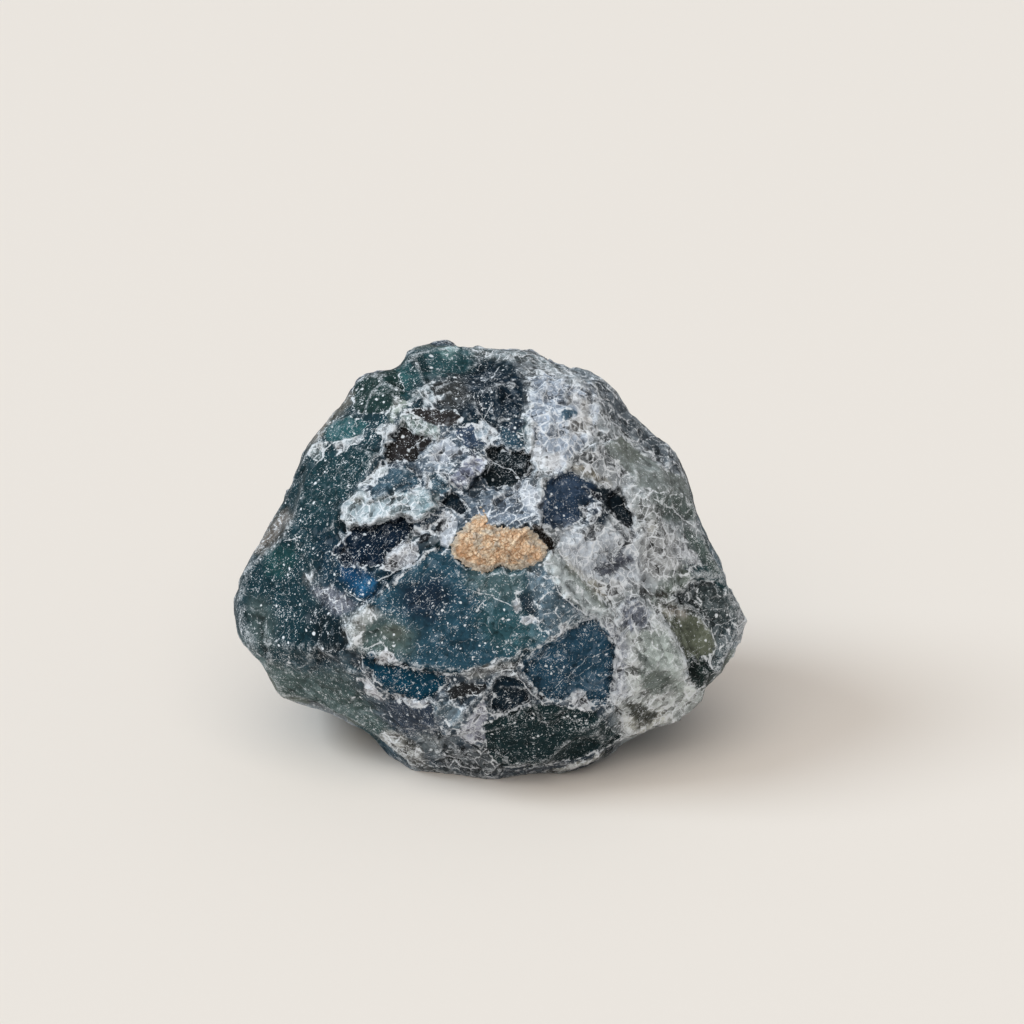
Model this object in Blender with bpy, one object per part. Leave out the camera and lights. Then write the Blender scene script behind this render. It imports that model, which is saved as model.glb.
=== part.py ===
"""A palm-sized lump of raw fluorite, broken on every side, resting on its flattest break.

The lump is one grown piece. It is described from its widest broken face, which leans back by LEAN:
across is to the right, up is along the leaning face, and out is away from the stone, square to it.
Outlines on the face are given as they are seen from EYE, a point well in front of it.
All sizes are in millimetres in that face frame until placed() turns them into the part's own frame,
in metres, with +Z up and the floor at Z = 0.
"""

import math

import bmesh
import bpy
import numpy as np

MM = 0.001
LEAN = math.radians(22)
MIDDLE = (-0.03, -0.73, 26.2)    # the lump's middle in the part's frame, Z being its height above the floor
EYE = (2.9, 6.62, 470.8)
FRONT_BULGE, BACK_BULGE = 27.0, 31.0
ROUNDNESS = 2.4                  # 2 is an ellipsoid, larger is boxier
TYPICAL_REACH = 28.0             # from the middle to the skin
GRAZING = 0.03                   # a way that leans less than this towards a flat break never meets it
NEVER = 1e3
FRONT_FROM, FRONT_FULL = 0.12, 0.35    # ledges fade in over ways that point this much outwards
BREAK_EDGE = 0.9                 # how far a fresh edge between two breaks is worn back
FLOOR_SNAP = 0.02                # skin lower than this lies on the floor
LEDGE_EDGE = 0.35                # half the width of a ledge's small cliff
LEDGE_WAVES = [(0.3, 1.9, 0.0), (0.15, 4.3, 1.1)]   # how its outline wanders: height, pace, cross pace
STONE_ROUNDS, CRUST_ROUNDS = 7, 5      # how often the ball that each piece starts from is subdivided
STONE_TRIANGLES, CRUST_TRIANGLES = 7600, 1300
STONE_COLOUR, STONE_ROUGHNESS = (0.06, 0.13, 0.17), 0.45
CRUST_COLOUR, CRUST_ROUGHNESS = (0.55, 0.33, 0.16), 0.8

# The lump's outline across and up, anticlockwise from the right-hand tip.
OUTLINE = [
    (35.9, -10.4), (34.3, -6.8), (32.4, -3.5), (31.5, 1.0), (29.9, 4.0), (28.5, 6.5), (27.6, 9.3),
    (26.7, 12.0), (25.8, 14.0), (24.3, 16.0), (22.7, 17.0), (21.2, 18.4), (19.3, 20.0), (18.2, 21.5),
    (17.3, 23.0), (14.8, 25.1), (13.5, 26.1), (11.6, 26.3), (9.0, 27.0), (7.4, 28.0), (5.8, 28.7),
    (0.0, 28.7), (-4.5, 29.3), (-6.0, 30.4), (-7.0, 30.4), (-10.0, 29.3), (-11.3, 28.4),
    (-12.5, 26.8), (-13.5, 26.2), (-17.0, 25.5), (-18.3, 24.7), (-20.2, 21.6), (-21.8, 20.1),
    (-24.7, 16.3), (-25.8, 14.8), (-26.4, 12.8), (-28.1, 8.0), (-31.5, 2.8), (-34.4, -2.5),
    (-35.0, -5.0), (-34.4, -10.0), (-33.3, -12.3), (-31.7, -14.3), (-29.5, -18.3), (-27.5, -19.5),
    (-22.5, -21.2), (-17.5, -23.3), (-15.7, -25.0), (-12.8, -29.0), (-8.4, -31.4), (-2.0, -32.0),
    (5.0, -30.6), (12.5, -28.6), (18.0, -26.0), (24.0, -23.3), (27.5, -21.4), (28.9, -19.4),
    (29.3, -17.6), (33.9, -13.4), (35.3, -11.8),
]

# Each large break: the way it faces, then a point that it passes through.
BREAKS = {
    "big blue face": ((-0.12, -0.26, 0.95), (-3, -6, 22.0)),
    "left slab": ((-0.60, 0.02, 0.80), (-20, -3, 18.0)),
    "left slope": ((-0.48, 0.42, 0.77), (-17, 13, 15.5)),
    "upper face": ((-0.08, 0.46, 0.88), (-3, 11, 20.5)),
    "top slope": ((0.04, 0.76, 0.65), (0, 23, 13.5)),
    "right upper face": ((0.48, 0.36, 0.80), (14, 9, 18.0)),
    "right shoulder": ((0.80, 0.42, 0.43), (24, 12, 9.0)),
    "right middle": ((0.62, -0.05, 0.78), (22, -2, 13.5)),
    "right column": ((0.42, -0.40, 0.81), (18, -13, 16.0)),
    "foot": ((0.03, -0.70, 0.71), (2, -21, 15.5)),
    "left underside": ((-0.42, -0.72, 0.55), (-21.5, -17.8, 9.0)),
    "lower right side": ((0.55, -0.80, -0.25), (22, -22, -6)),
    "left flank": ((-0.88, 0.10, -0.46), (-30, 0, -10)),
    "left back": ((-0.62, 0.22, -0.75), (-18, 4, -19)),
    "back": ((0.12, 0.10, -0.99), (2, 2, -25)),
    "back shoulder": ((0.10, 0.72, -0.69), (0, 18, -17)),
    "right back": ((0.70, 0.18, -0.69), (20, 2, -17)),
    "right flank": ((0.92, 0.24, -0.31), (33, -6, -7)),
    "lower back": ((-0.10, -0.45, -0.89), (0, -12, -23)),
    "back left corner": ((-0.55, 0.62, -0.56), (-18, 16, -12)),
    "back right corner": ((0.60, 0.62, -0.50), (17, 16, -11)),
}

# Each ledge, chip or hollow on the wide face: its outline across and up, how far it stands out
# (below 0 it is sunk), and how much further out it comes for each millimetre across and up.
LEDGES = {
    "pale ledge": (
        [(-20.8, 6.0), (-19.8, 4.8), (-18.0, 4.4), (-15.5, 5.2), (-12.8, 6.2), (-10.0, 5.5),
         (-7.0, 7.3), (-9.5, 9.7), (-12.5, 9.8), (-16.0, 9.0), (-18.5, 9.5), (-20.4, 7.8)],
        1.5, 0.04, -0.12),
    "ledge back": (
        [(-19.8, 8.4), (-15.0, 12.4), (-11.0, 12.9), (-8.0, 11.6), (-9.0, 9.6), (-12.5, 9.4), (-16.0, 8.2)],
        0.5, 0.0, -0.08),
    "navy hollow": (
        [(-20.0, 4.4), (-20.5, 0.0), (-16.0, -1.4), (-12.0, 2.6), (-9.5, 3.4), (-11.0, 5.6),
         (-13.0, 6.0), (-16.8, 4.6)],
        -1.0, -0.05, -0.05),
    "big facet": (
        [(-20.2, -8.8), (-18.0, -6.8), (-14.0, -2.8), (-8.0, 1.8), (-4.8, 1.2), (-1.0, -1.6),
         (5.0, -1.6), (8.6, -2.4), (12.6, -7.4), (8.6, -11.0), (3.0, -13.6), (-3.0, -15.8),
         (-9.0, -15.0), (-16.0, -13.6), (-19.6, -12.0)],
        1.1, -0.03, 0.0),
    "teal crescent": (
        [(-17.6, -13.6), (-9.0, -15.2), (-5.0, -16.4), (-8.0, -19.4), (-13.0, -19.2), (-15.8, -17.0)],
        -0.5, 0.0, 0.10),
    "pale chip": (
        [(-8.0, -19.4), (-3.8, -19.8), (-2.6, -21.2), (-6.0, -24.0), (-8.0, -22.2)],
        0.5, 0.0, 0.05),
    "navy facet": (
        [(4.2, -14.6), (8.4, -11.4), (14.0, -7.6), (16.8, -11.0), (17.4, -13.0), (16.4, -19.6),
         (13.8, -19.6), (10.5, -19.0), (7.4, -19.4)],
        -0.9, 0.02, -0.03),
    "dark wedge": (
        [(0.2, -16.8), (3.6, -15.8), (6.6, -19.0), (2.0, -21.6), (-0.4, -20.0)],
        -0.8, 0.0, 0.0),
    "brown hollow": (
        [(-14.8, 15.4), (-12.6, 18.6), (-7.4, 16.6), (-10.5, 13.6), (-14.0, 13.6)],
        -1.1, 0.08, 0.0),
    "lilac shard": (
        [(-7.6, 12.0), (-4.0, 14.0), (-1.6, 14.9), (-0.2, 13.6), (-3.0, 10.0), (-5.8, 10.6)],
        0.8, 0.0, -0.10),
    "black hollow": (
        [(-0.6, 15.6), (3.5, 15.2), (5.8, 14.2), (5.6, 11.2), (3.0, 9.2), (-2.6, 10.0), (0.0, 13.6)],
        -1.2, 0.0, 0.0),
    "black chip": (
        [(-6.8, 8.0), (-5.6, 9.3), (-3.2, 7.8), (-3.6, 6.2), (-5.2, 6.7)],
        -0.9, 0.0, 0.0),
    "slate facet": (
        [(6.8, 6.4), (7.2, 9.4), (9.8, 12.2), (11.8, 12.2), (14.0, 8.4), (12.6, 4.8), (8.6, 4.6)],
        -0.7, 0.0, 0.05),
    "black notch": (
        [(15.8, 9.0), (17.3, 9.9), (19.5, 6.8), (19.7, 3.4), (17.0, 5.6)],
        -1.6, 0.10, 0.0),
    "frosted brow": (
        [(4.4, 19.6), (5.4, 23.6), (9.0, 25.2), (14.4, 24.0), (14.6, 17.6), (12.0, 13.8), (8.4, 10.6),
         (6.0, 12.0)],
        0.6, 0.0, 0.0),
    "shoulder band": (
        [(14.6, 21.8), (18.4, 17.2), (21.5, 14.6), (26.6, 12.4), (25.8, 16.0), (18.6, 22.6), (15.0, 26.0)],
        -1.3, -0.06, 0.0),
    "grey tongue": (
        [(7.2, -0.2), (8.8, 1.0), (12.0, -1.4), (16.6, -6.8), (15.0, -7.9), (10.4, -5.2), (8.8, -2.2)],
        0.7, 0.0, -0.05),
    "right column": (
        [(17.2, -6.6), (20.6, -5.0), (24.4, -9.0), (26.8, -13.8), (27.2, -17.6), (29.6, -18.6),
         (28.0, -22.4), (19.0, -25.4), (17.0, -19.0), (17.4, -12.6)],
        1.6, 0.05, 0.0),
    "olive lobe": (
        [(24.0, -6.4), (27.4, -6.6), (30.4, -9.8), (31.3, -12.0), (30.6, -13.2), (26.8, -13.4),
         (25.6, -9.6)],
        -1.0, -0.02, 0.0),
    "tip": (
        [(25.0, -4.8), (29.5, -2.4), (33.5, -4.0), (36.0, -10.0), (33.0, -15.0), (29.4, -17.8),
         (26.8, -15.0), (30.9, -13.2), (30.6, -9.6), (27.6, -6.4)],
        -1.9, 0.0, 0.0),
    "grey toe": (
        [(-8.2, -27.2), (-5.4, -25.8), (0.0, -26.0), (4.6, -28.8), (-4.0, -31.0)],
        0.6, 0.0, 0.05),
    "crust pit": (
        [(-6.0, 1.0), (-5.6, 3.2), (-3.4, 5.2), (-1.8, 6.4), (-0.2, 5.2), (3.2, 4.9), (5.4, 4.9),
         (8.0, 2.4), (7.8, 0.4), (4.2, -1.1), (-1.0, -2.0), (-4.4, -1.0)],
        -1.3, 0.0, 0.0),
}

# The outline of the tan crust that fills the pit, and how far it stands out of it.
CRUST_MIDDLE = (1.0, 1.7)
CRUST_LEVEL = 22.0               # about how far out it lies
CRUST_OUTLINE = [
    (7.3, 1.2), (7.2, 2.3), (6.2, 3.5), (5.0, 4.1), (1.5, 4.2), (0.0, 4.0), (-1.0, 5.1), (-1.9, 5.5),
    (-3.0, 4.5), (-3.9, 3.3), (-5.0, 2.7), (-5.3, 1.2), (-4.8, 0.4), (-4.0, -0.3), (-2.5, -0.8),
    (-1.0, -1.2), (2.0, -0.8), (4.0, -0.4), (5.6, 0.3),
]
CRUST_RISE = 0.35                # above the rim of its pit
CRUST_GAP = 0.35                 # between the crust and the pit's floor
SETTLING_ROUNDS, SETTLING_SHARE = 12, 0.8   # how the floor under a point of the crust is closed in on
CRUST_GRAINS, GRAIN_SIZE, GRAIN_RISE = 130, 0.75, 0.5
CRUST_SHOULDER = 0.25            # the power of its round side, smaller is steeper

# Shell-shaped chips struck off the edges behind the wide face, each cut by a sphere that dips below them.
SEED = 11
CHIPS = 260
CHIP_RADIUS = (9.0, 26.0)
CHIP_DEPTH = (0.35, 1.1)
CHIP_EDGE = 2.2                  # a chip starts this close to an edge between two breaks
CHIP_FRONT = 0.45                # and not where the way out points this much towards the viewer

# Every break is itself made of small flat facets, each a little tilted and a little higher or lower.
FACETS = 330
FACET_LIFT = 0.30
FACET_TILT = 0.115
FACET_EDGE = 0.035               # half the width of the crease between two facets, in radians
BORDER_BEND, BORDER_PACE = 0.035, 7.0   # how far, and how often, the facets' borders wander
BORDER_PHASES = (0.3, 1.7, 2.9)

# The facets are flatter on these smooth patches of the wide face, each given as across, up and reach.
CALM_PATCHES = [
    (-6.0, -7.0, 13.0), (-25.0, -3.0, 9.0), (10.5, -14.5, 5.5), (10.2, 8.4, 4.0), (-14.0, 7.5, 6.0),
]
CALM_SHARE = 0.7
CALM_FADE = (0.75, 1.15)
RIM_CALM, RIM_WIDTH = 0.75, 0.3  # and round the outline, for ways within this much of square to out


def lowest_blend(first, second, width):
    """The lesser of two arrays, with the crease between them rounded over the given width."""
    closeness = np.clip(1 - np.abs(first - second) / width, 0, 1)
    return np.minimum(first, second) - closeness**2 * width / 4


def outline_reach(turn, outline, middle=(0.0, 0.0)):
    """How far a closed outline lies from its middle, in each direction turned to."""
    corners = np.array(outline) - middle
    angles = np.arctan2(corners[:, 1], corners[:, 0])
    order = np.argsort(angles)
    return np.interp(turn, angles[order], np.hypot(*corners.T)[order], period=2 * math.pi)


def inside_depth(across, up, outline):
    """Distance to a closed outline, positive inside it, from each point."""
    corners = np.array(outline, float)
    nearest = np.full(across.shape, NEVER)
    inside = np.zeros(across.shape, bool)
    for (ax, ay), (bx, by) in zip(corners, np.roll(corners, -1, axis=0)):
        ex, ey = bx - ax, by - ay
        along = np.clip(((across - ax) * ex + (up - ay) * ey) / (ex * ex + ey * ey), 0, 1)
        nearest = np.minimum(nearest, np.hypot(across - ax - along * ex, up - ay - along * ey))
        if ey:
            crosses = (ay > up) != (by > up)
            inside ^= crosses & (across < ax + (up - ay) * ex / ey)
    return np.where(inside, nearest, -nearest)


def step(value, low, high):
    """0 below low, 1 above high, and a smooth rise between."""
    share = np.clip((value - low) / (high - low), 0, 1)
    return share * share * (3 - 2 * share)


def uncut_reach(ways):
    """How far the rounded blank reaches: as wide as the outline, and as deep as the two bulges."""
    across, up, out = ways.T
    wide = np.hypot(across, up) / outline_reach(np.arctan2(up, across), OUTLINE)
    deep = np.abs(out) / np.where(out > 0, FRONT_BULGE, BACK_BULGE)
    return (wide**ROUNDNESS + deep**ROUNDNESS) ** (-1 / ROUNDNESS)


def break_reach(ways, facing, through):
    """How far a flat break lies along each way, or never met where the way doesn't lean towards it."""
    normal = np.array(facing, float) / np.linalg.norm(facing)
    distance = normal @ np.array(through, float)
    slant = ways @ normal
    return np.where(slant > GRAZING, distance / np.maximum(slant, GRAZING), NEVER)


def broken_reach(ways):
    """How far the blank reaches once every large break is cut, and how near each way is to an edge."""
    reach = uncut_reach(ways)
    second = np.full(len(ways), NEVER)
    for facing, through in BREAKS.values():
        other = break_reach(ways, facing, through)
        second = np.minimum(second, np.maximum(reach, other))
        reach = lowest_blend(reach, other, BREAK_EDGE)
    return reach, second - reach


def chipped_reach(ways, reach):
    """Cuts the seeded chips: along each way, the skin moves in to the near side of each sphere."""
    random = np.random.default_rng(SEED)
    starts = random.normal(size=(CHIPS, 3))
    starts /= np.linalg.norm(starts, axis=1, keepdims=True)
    sizes = random.uniform(*CHIP_RADIUS, CHIPS)
    depths = random.uniform(*CHIP_DEPTH, CHIPS)
    start_reach, to_edge = broken_reach(starts)
    kept = (to_edge < CHIP_EDGE) & (starts[:, 2] < CHIP_FRONT)
    for start, size, away in zip(starts[kept], sizes[kept], (start_reach + sizes - depths)[kept]):
        along = ways @ (start * away)
        beyond = along**2 - away**2 + size**2
        near_side = along - np.sqrt(np.maximum(beyond, 0))
        reach = np.where((beyond > 0) & (along > 0), np.minimum(reach, near_side), reach)
    return reach


def facet_rise(ways):
    """The small facets: each way takes the tilt and height of its nearest facet, creased at the borders."""
    random = np.random.default_rng(SEED + 1)
    middles = random.normal(size=(FACETS, 3))
    middles /= np.linalg.norm(middles, axis=1, keepdims=True)
    tilts = random.normal(size=(FACETS, 3)) * FACET_TILT
    lifts = random.uniform(-FACET_LIFT, FACET_LIFT, FACETS)
    bent = ways + BORDER_BEND * np.sin(BORDER_PACE * ways[:, [1, 2, 0]] + BORDER_PHASES)
    nearest, next_one = np.full((2, len(ways)), NEVER)
    own, other = np.zeros((2, len(ways)))
    for middle, tilt, lift in zip(middles, tilts, lifts):
        apart = bent - middle
        away = np.sqrt((apart**2).sum(axis=1))
        rise = lift + TYPICAL_REACH * (apart @ tilt)
        closer = away < nearest
        close = (away < next_one) & ~closer
        next_one = np.where(closer, nearest, np.where(close, away, next_one))
        other = np.where(closer, own, np.where(close, rise, other))
        nearest = np.where(closer, away, nearest)
        own = np.where(closer, rise, own)
    share = 0.5 + 0.5 * step(next_one - nearest, 0, FACET_EDGE)
    return own * share + other * (1 - share)


def calmness(across, up):
    """0 where the facets have their full height, rising to CALM_SHARE on the smooth patches."""
    calm = np.zeros(across.shape)
    for middle_across, middle_up, reach in CALM_PATCHES:
        away = np.hypot(across - middle_across, up - middle_up)
        calm = np.maximum(calm, 1 - step(away, reach * CALM_FADE[0], reach * CALM_FADE[1]))
    return calm * CALM_SHARE


def floor_reach(ways):
    """How far the flat break that the lump rests on lies along each way."""
    down = np.array((0.0, -math.cos(LEAN), -math.sin(LEAN)))
    slant = ways @ down
    return np.where(slant > GRAZING, MIDDLE[2] / np.maximum(slant, GRAZING), NEVER)


def ledge_rise(across, up):
    """How far each ledge and hollow lifts or sinks the wide face, its outline a little ragged."""
    rise = np.zeros(across.shape)
    ragged_across, ragged_up = across, up
    for height, pace, cross_pace in LEDGE_WAVES:
        ragged_across = ragged_across + height * np.sin(pace * up + cross_pace * across)
        ragged_up = ragged_up + height * np.sin(pace * across - cross_pace * up + 2)
    for outline, out, per_across, per_up in LEDGES.values():
        middle = np.mean(outline, axis=0)
        share = step(inside_depth(ragged_across, ragged_up, outline), -LEDGE_EDGE, LEDGE_EDGE)
        rise += share * (out + per_across * (across - middle[0]) + per_up * (up - middle[1]))
    return rise


def as_seen(points):
    """Where points appear across and up from the eye: what stands further out looks a little larger."""
    nearer = EYE[2] / (EYE[2] - points[:, 2])
    return tuple(EYE[axis] + (points[:, axis] - EYE[axis]) * nearer for axis in (0, 1))


def skin(ways):
    """The lump's surface point along each way from its middle, in the face frame."""
    reach, _ = broken_reach(ways)
    reach = chipped_reach(ways, reach)
    points = ways * reach[:, None]
    front = step(ways[:, 2], FRONT_FROM, FRONT_FULL)
    rough = 1 - calmness(*as_seen(points)) * front
    rough *= 1 - RIM_CALM * np.exp(-((ways[:, 2] / RIM_WIDTH) ** 2))
    reach = np.minimum(reach + facet_rise(ways) * rough, floor_reach(ways))
    points = ways * reach[:, None]
    points[:, 2] += ledge_rise(*as_seen(points)) * front
    return points


def placed(points):
    """Face-frame millimetres turned into the part's frame, in metres, and kept above the floor."""
    across, up, out = points.T
    x = MIDDLE[0] + across
    y = MIDDLE[1] + up * math.sin(LEAN) - out * math.cos(LEAN)
    z = MIDDLE[2] + up * math.cos(LEAN) + out * math.sin(LEAN)
    z = np.where(z < FLOOR_SNAP, 0.0, z)
    return np.stack((x, y, z), axis=1) * MM


def ball(name, subdivisions):
    """An icosphere of radius 1 as a new object, and the way out to each of its vertices."""
    shape = bmesh.new()
    bmesh.ops.create_icosphere(shape, subdivisions=subdivisions, radius=1.0)
    mesh = bpy.data.meshes.new(name)
    shape.to_mesh(mesh)
    shape.free()
    points = np.empty(len(mesh.vertices) * 3, np.float32)
    mesh.vertices.foreach_get("co", points)
    ways = points.reshape(-1, 3).astype(float)
    return bpy.data.objects.new(name, mesh), ways / np.linalg.norm(ways, axis=1, keepdims=True)


def reshape(obj, points):
    obj.data.vertices.foreach_set("co", points.astype(np.float32).ravel())
    obj.data.update()


def thin_out(obj, triangles):
    """Spends the triangles on edges and ledges, and few on flat breaks."""
    modifier = obj.modifiers.new("thin out", "DECIMATE")
    modifier.ratio = triangles / len(obj.data.polygons)
    modifier.use_collapse_triangulate = True


def finish_material(name, colour, roughness):
    material = bpy.data.materials.new(name)
    material.use_nodes = True
    shader = material.node_tree.nodes["Principled BSDF"]
    shader.inputs["Base Color"].default_value = (*colour, 1.0)
    shader.inputs["Roughness"].default_value = roughness
    shader.inputs["Metallic"].default_value = 0.0
    return material


def make_fluorite():
    """The lump: every break, chip, ledge and hollow in one closed skin."""
    stone, ways = ball("fluorite", STONE_ROUNDS)
    reshape(stone, placed(skin(ways)))
    thin_out(stone, STONE_TRIANGLES)
    stone.data.materials.append(finish_material("blue-green fluorite", STONE_COLOUR, STONE_ROUGHNESS))
    return stone


def grain_rise(across, up):
    """Small rounded grains, each a dome, the tallest one winning at each point."""
    random = np.random.default_rng(SEED + 2)
    rise = np.zeros(across.shape)
    for _ in range(CRUST_GRAINS):
        turn, out = random.uniform(-math.pi, math.pi), math.sqrt(random.uniform(0, 1))
        reach = outline_reach(turn, CRUST_OUTLINE, CRUST_MIDDLE) * out
        size = GRAIN_SIZE * random.uniform(0.6, 1.3)
        height = GRAIN_RISE * random.uniform(0.5, 1.0)
        away = np.hypot(
            across - CRUST_MIDDLE[0] - reach * math.cos(turn),
            up - CRUST_MIDDLE[1] - reach * math.sin(turn),
        )
        rise = np.maximum(rise, height * np.sqrt(np.maximum(1 - (away / size) ** 2, 0)))
    return rise


def face_out(across, up):
    """How far out the wide face lies at points across and up, found by walking the way to them."""
    out = np.full(across.shape, FRONT_BULGE)
    for _ in range(SETTLING_ROUNDS):
        ways = np.stack((across, up, out), axis=1)
        length = np.linalg.norm(ways, axis=1, keepdims=True)
        out = out + (skin(ways / length)[:, 2] - out) * SETTLING_SHARE
    return out


def make_crust():
    """The tan crust: one sugary patch of small grains that fills its pit, a hair clear of the floor."""
    crust, ways = ball("crust", CRUST_ROUNDS)
    turn = np.arctan2(ways[:, 1], ways[:, 0])
    share = np.sin(np.arccos(np.abs(ways[:, 2])))
    reach = outline_reach(turn, CRUST_OUTLINE, CRUST_MIDDLE) * share
    seen_across = CRUST_MIDDLE[0] + reach * np.cos(turn)
    seen_up = CRUST_MIDDLE[1] + reach * np.sin(turn)
    nearer = EYE[2] / (EYE[2] - CRUST_LEVEL)
    across = EYE[0] + (seen_across - EYE[0]) / nearer
    up = EYE[1] + (seen_up - EYE[1]) / nearer
    floor = face_out(across, up)
    thickness = -LEDGES["crust pit"][1] + CRUST_RISE
    dome = np.maximum(1 - share**2, 0) ** CRUST_SHOULDER
    top = floor + CRUST_GAP + (thickness - CRUST_GAP + grain_rise(seen_across, seen_up)) * dome
    out = np.where(ways[:, 2] >= 0, top, floor + CRUST_GAP)
    reshape(crust, placed(np.stack((across, up, out), axis=1)))
    thin_out(crust, CRUST_TRIANGLES)
    crust.data.materials.append(finish_material("tan iron-stained crust", CRUST_COLOUR, CRUST_ROUGHNESS))
    return crust


def main():
    for obj in list(bpy.data.objects):
        bpy.data.objects.remove(obj)
    collection = bpy.data.collections.new("raw fluorite")
    bpy.context.scene.collection.children.link(collection)
    for piece in (make_fluorite(), make_crust()):
        collection.objects.link(piece)


main()
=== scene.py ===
"""A palm-sized lump of raw fluorite with a small tan crust, on a plain pale floor in soft light."""

import math

import bpy
import numpy as np
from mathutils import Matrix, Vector


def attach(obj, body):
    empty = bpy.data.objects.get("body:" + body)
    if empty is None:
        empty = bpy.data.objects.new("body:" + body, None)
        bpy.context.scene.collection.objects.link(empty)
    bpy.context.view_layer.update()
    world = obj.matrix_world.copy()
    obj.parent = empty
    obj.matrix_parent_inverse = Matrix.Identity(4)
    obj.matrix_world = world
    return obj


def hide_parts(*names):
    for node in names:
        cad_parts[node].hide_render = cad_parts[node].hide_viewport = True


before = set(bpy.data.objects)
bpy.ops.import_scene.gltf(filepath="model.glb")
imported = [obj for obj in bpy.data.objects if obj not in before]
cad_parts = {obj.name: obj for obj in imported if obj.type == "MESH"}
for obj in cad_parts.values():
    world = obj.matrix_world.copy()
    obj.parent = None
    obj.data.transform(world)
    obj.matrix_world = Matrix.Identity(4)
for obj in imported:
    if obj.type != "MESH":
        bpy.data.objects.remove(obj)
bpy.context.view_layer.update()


# The lump of fluorite. It grew as one mass of blue to green crystal, clouded and veined with white, and was
# broken out of its bed: flat breaks, small facets and ledges on every side, frosted where it is bruised.

# Millimetres from the lump's middle, by its widest face: across is to the right, up is along the face, and
# out is square to it. Outlines are as seen from the eye.
MM = 0.001
LEAN = math.radians(22)          # how far the widest face leans back
MIDDLE = (-0.03, -0.73, 26.2)    # where the lump's middle is in the frame
EYE = (2.9, 6.62, 470.8)         # where the camera is from that middle
FRONT_BULGE, BACK_BULGE = 27.0, 31.0   # how deep the uncut blank is before and behind its outline
ROUNDNESS = 2.4                  # the power of its curve, 2 for an ellipsoid
TYPICAL_REACH = 28.0             # turns the tilt of a facet into a height
GRAZING = 0.03                   # a way must lean towards a break by more than this to meet it
NEVER = 1e3                      # farther than anything
FRONT_FROM, FRONT_FULL = 0.12, 0.35   # where the ledges begin on the way round to the front, and are full
BREAK_EDGE = 0.9                 # how widely the edge between two breaks is rounded
FLOOR_SNAP = 0.02                # what is lower than this lies on the floor
LEDGE_EDGE = 0.3                 # half the width of a ledge's slope
LEDGE_WAVES = [(0.3, 1.9, 0.0), (0.15, 4.3, 1.1)]   # how ragged a ledge's outline is

# The lump's outline as seen, across and up.
OUTLINE = [
    (35.9, -10.4), (34.3, -6.8), (32.4, -3.5), (31.5, 1.0), (29.9, 4.0), (28.5, 6.5), (27.6, 9.3),
    (26.7, 12.0), (25.8, 14.0), (24.3, 16.0), (22.7, 17.0), (21.2, 18.4), (19.3, 20.0), (18.2, 21.5),
    (17.3, 23.0), (14.8, 25.1), (13.5, 26.1), (11.6, 26.3), (9.0, 27.0), (7.4, 28.0), (5.8, 28.7),
    (0.0, 28.7), (-4.5, 29.3), (-6.0, 30.4), (-7.0, 30.4), (-10.0, 29.3), (-11.3, 28.4),
    (-12.5, 26.8), (-13.5, 26.2), (-17.0, 25.5), (-18.3, 24.7), (-20.2, 21.6), (-21.8, 20.1),
    (-24.7, 16.3), (-25.8, 14.8), (-26.4, 12.8), (-28.1, 8.0), (-31.5, 2.8), (-34.4, -2.5),
    (-35.0, -5.0), (-34.4, -10.0), (-33.3, -12.3), (-31.7, -14.3), (-29.5, -18.3), (-27.5, -19.5),
    (-22.5, -21.2), (-17.5, -23.3), (-15.7, -25.0), (-12.8, -29.0), (-8.4, -31.4), (-2.0, -32.0),
    (5.0, -30.6), (12.5, -28.6), (18.0, -26.0), (24.0, -23.3), (27.5, -21.4), (28.9, -19.4),
    (29.3, -17.6), (33.9, -13.4), (35.3, -11.8),
]

# Each large break: the way it faces, then a point that it passes through.
BREAKS = {
    "big blue face": ((-0.12, -0.26, 0.95), (-3, -6, 22.0)),
    "left slab": ((-0.60, 0.02, 0.80), (-20, -3, 18.0)),
    "left slope": ((-0.48, 0.42, 0.77), (-17, 13, 15.5)),
    "upper face": ((-0.08, 0.46, 0.88), (-3, 11, 20.5)),
    "top slope": ((0.04, 0.76, 0.65), (0, 23, 13.5)),
    "right upper face": ((0.48, 0.36, 0.80), (14, 9, 18.0)),
    "right shoulder": ((0.80, 0.42, 0.43), (24, 12, 9.0)),
    "right middle": ((0.62, -0.05, 0.78), (22, -2, 13.5)),
    "right column": ((0.42, -0.40, 0.81), (18, -13, 16.0)),
    "foot": ((0.03, -0.70, 0.71), (2, -21, 15.5)),
    "left underside": ((-0.42, -0.72, 0.55), (-21.5, -17.8, 9.0)),
    "lower right side": ((0.55, -0.80, -0.25), (22, -22, -6)),
    "left flank": ((-0.88, 0.10, -0.46), (-30, 0, -10)),
    "left back": ((-0.62, 0.22, -0.75), (-18, 4, -19)),
    "back": ((0.12, 0.10, -0.99), (2, 2, -25)),
    "back shoulder": ((0.10, 0.72, -0.69), (0, 18, -17)),
    "right back": ((0.70, 0.18, -0.69), (20, 2, -17)),
    "right flank": ((0.92, 0.24, -0.31), (33, -6, -7)),
    "lower back": ((-0.10, -0.45, -0.89), (0, -12, -23)),
    "back left corner": ((-0.55, 0.62, -0.56), (-18, 16, -12)),
    "back right corner": ((0.60, 0.62, -0.50), (17, 16, -11)),
}

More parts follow.
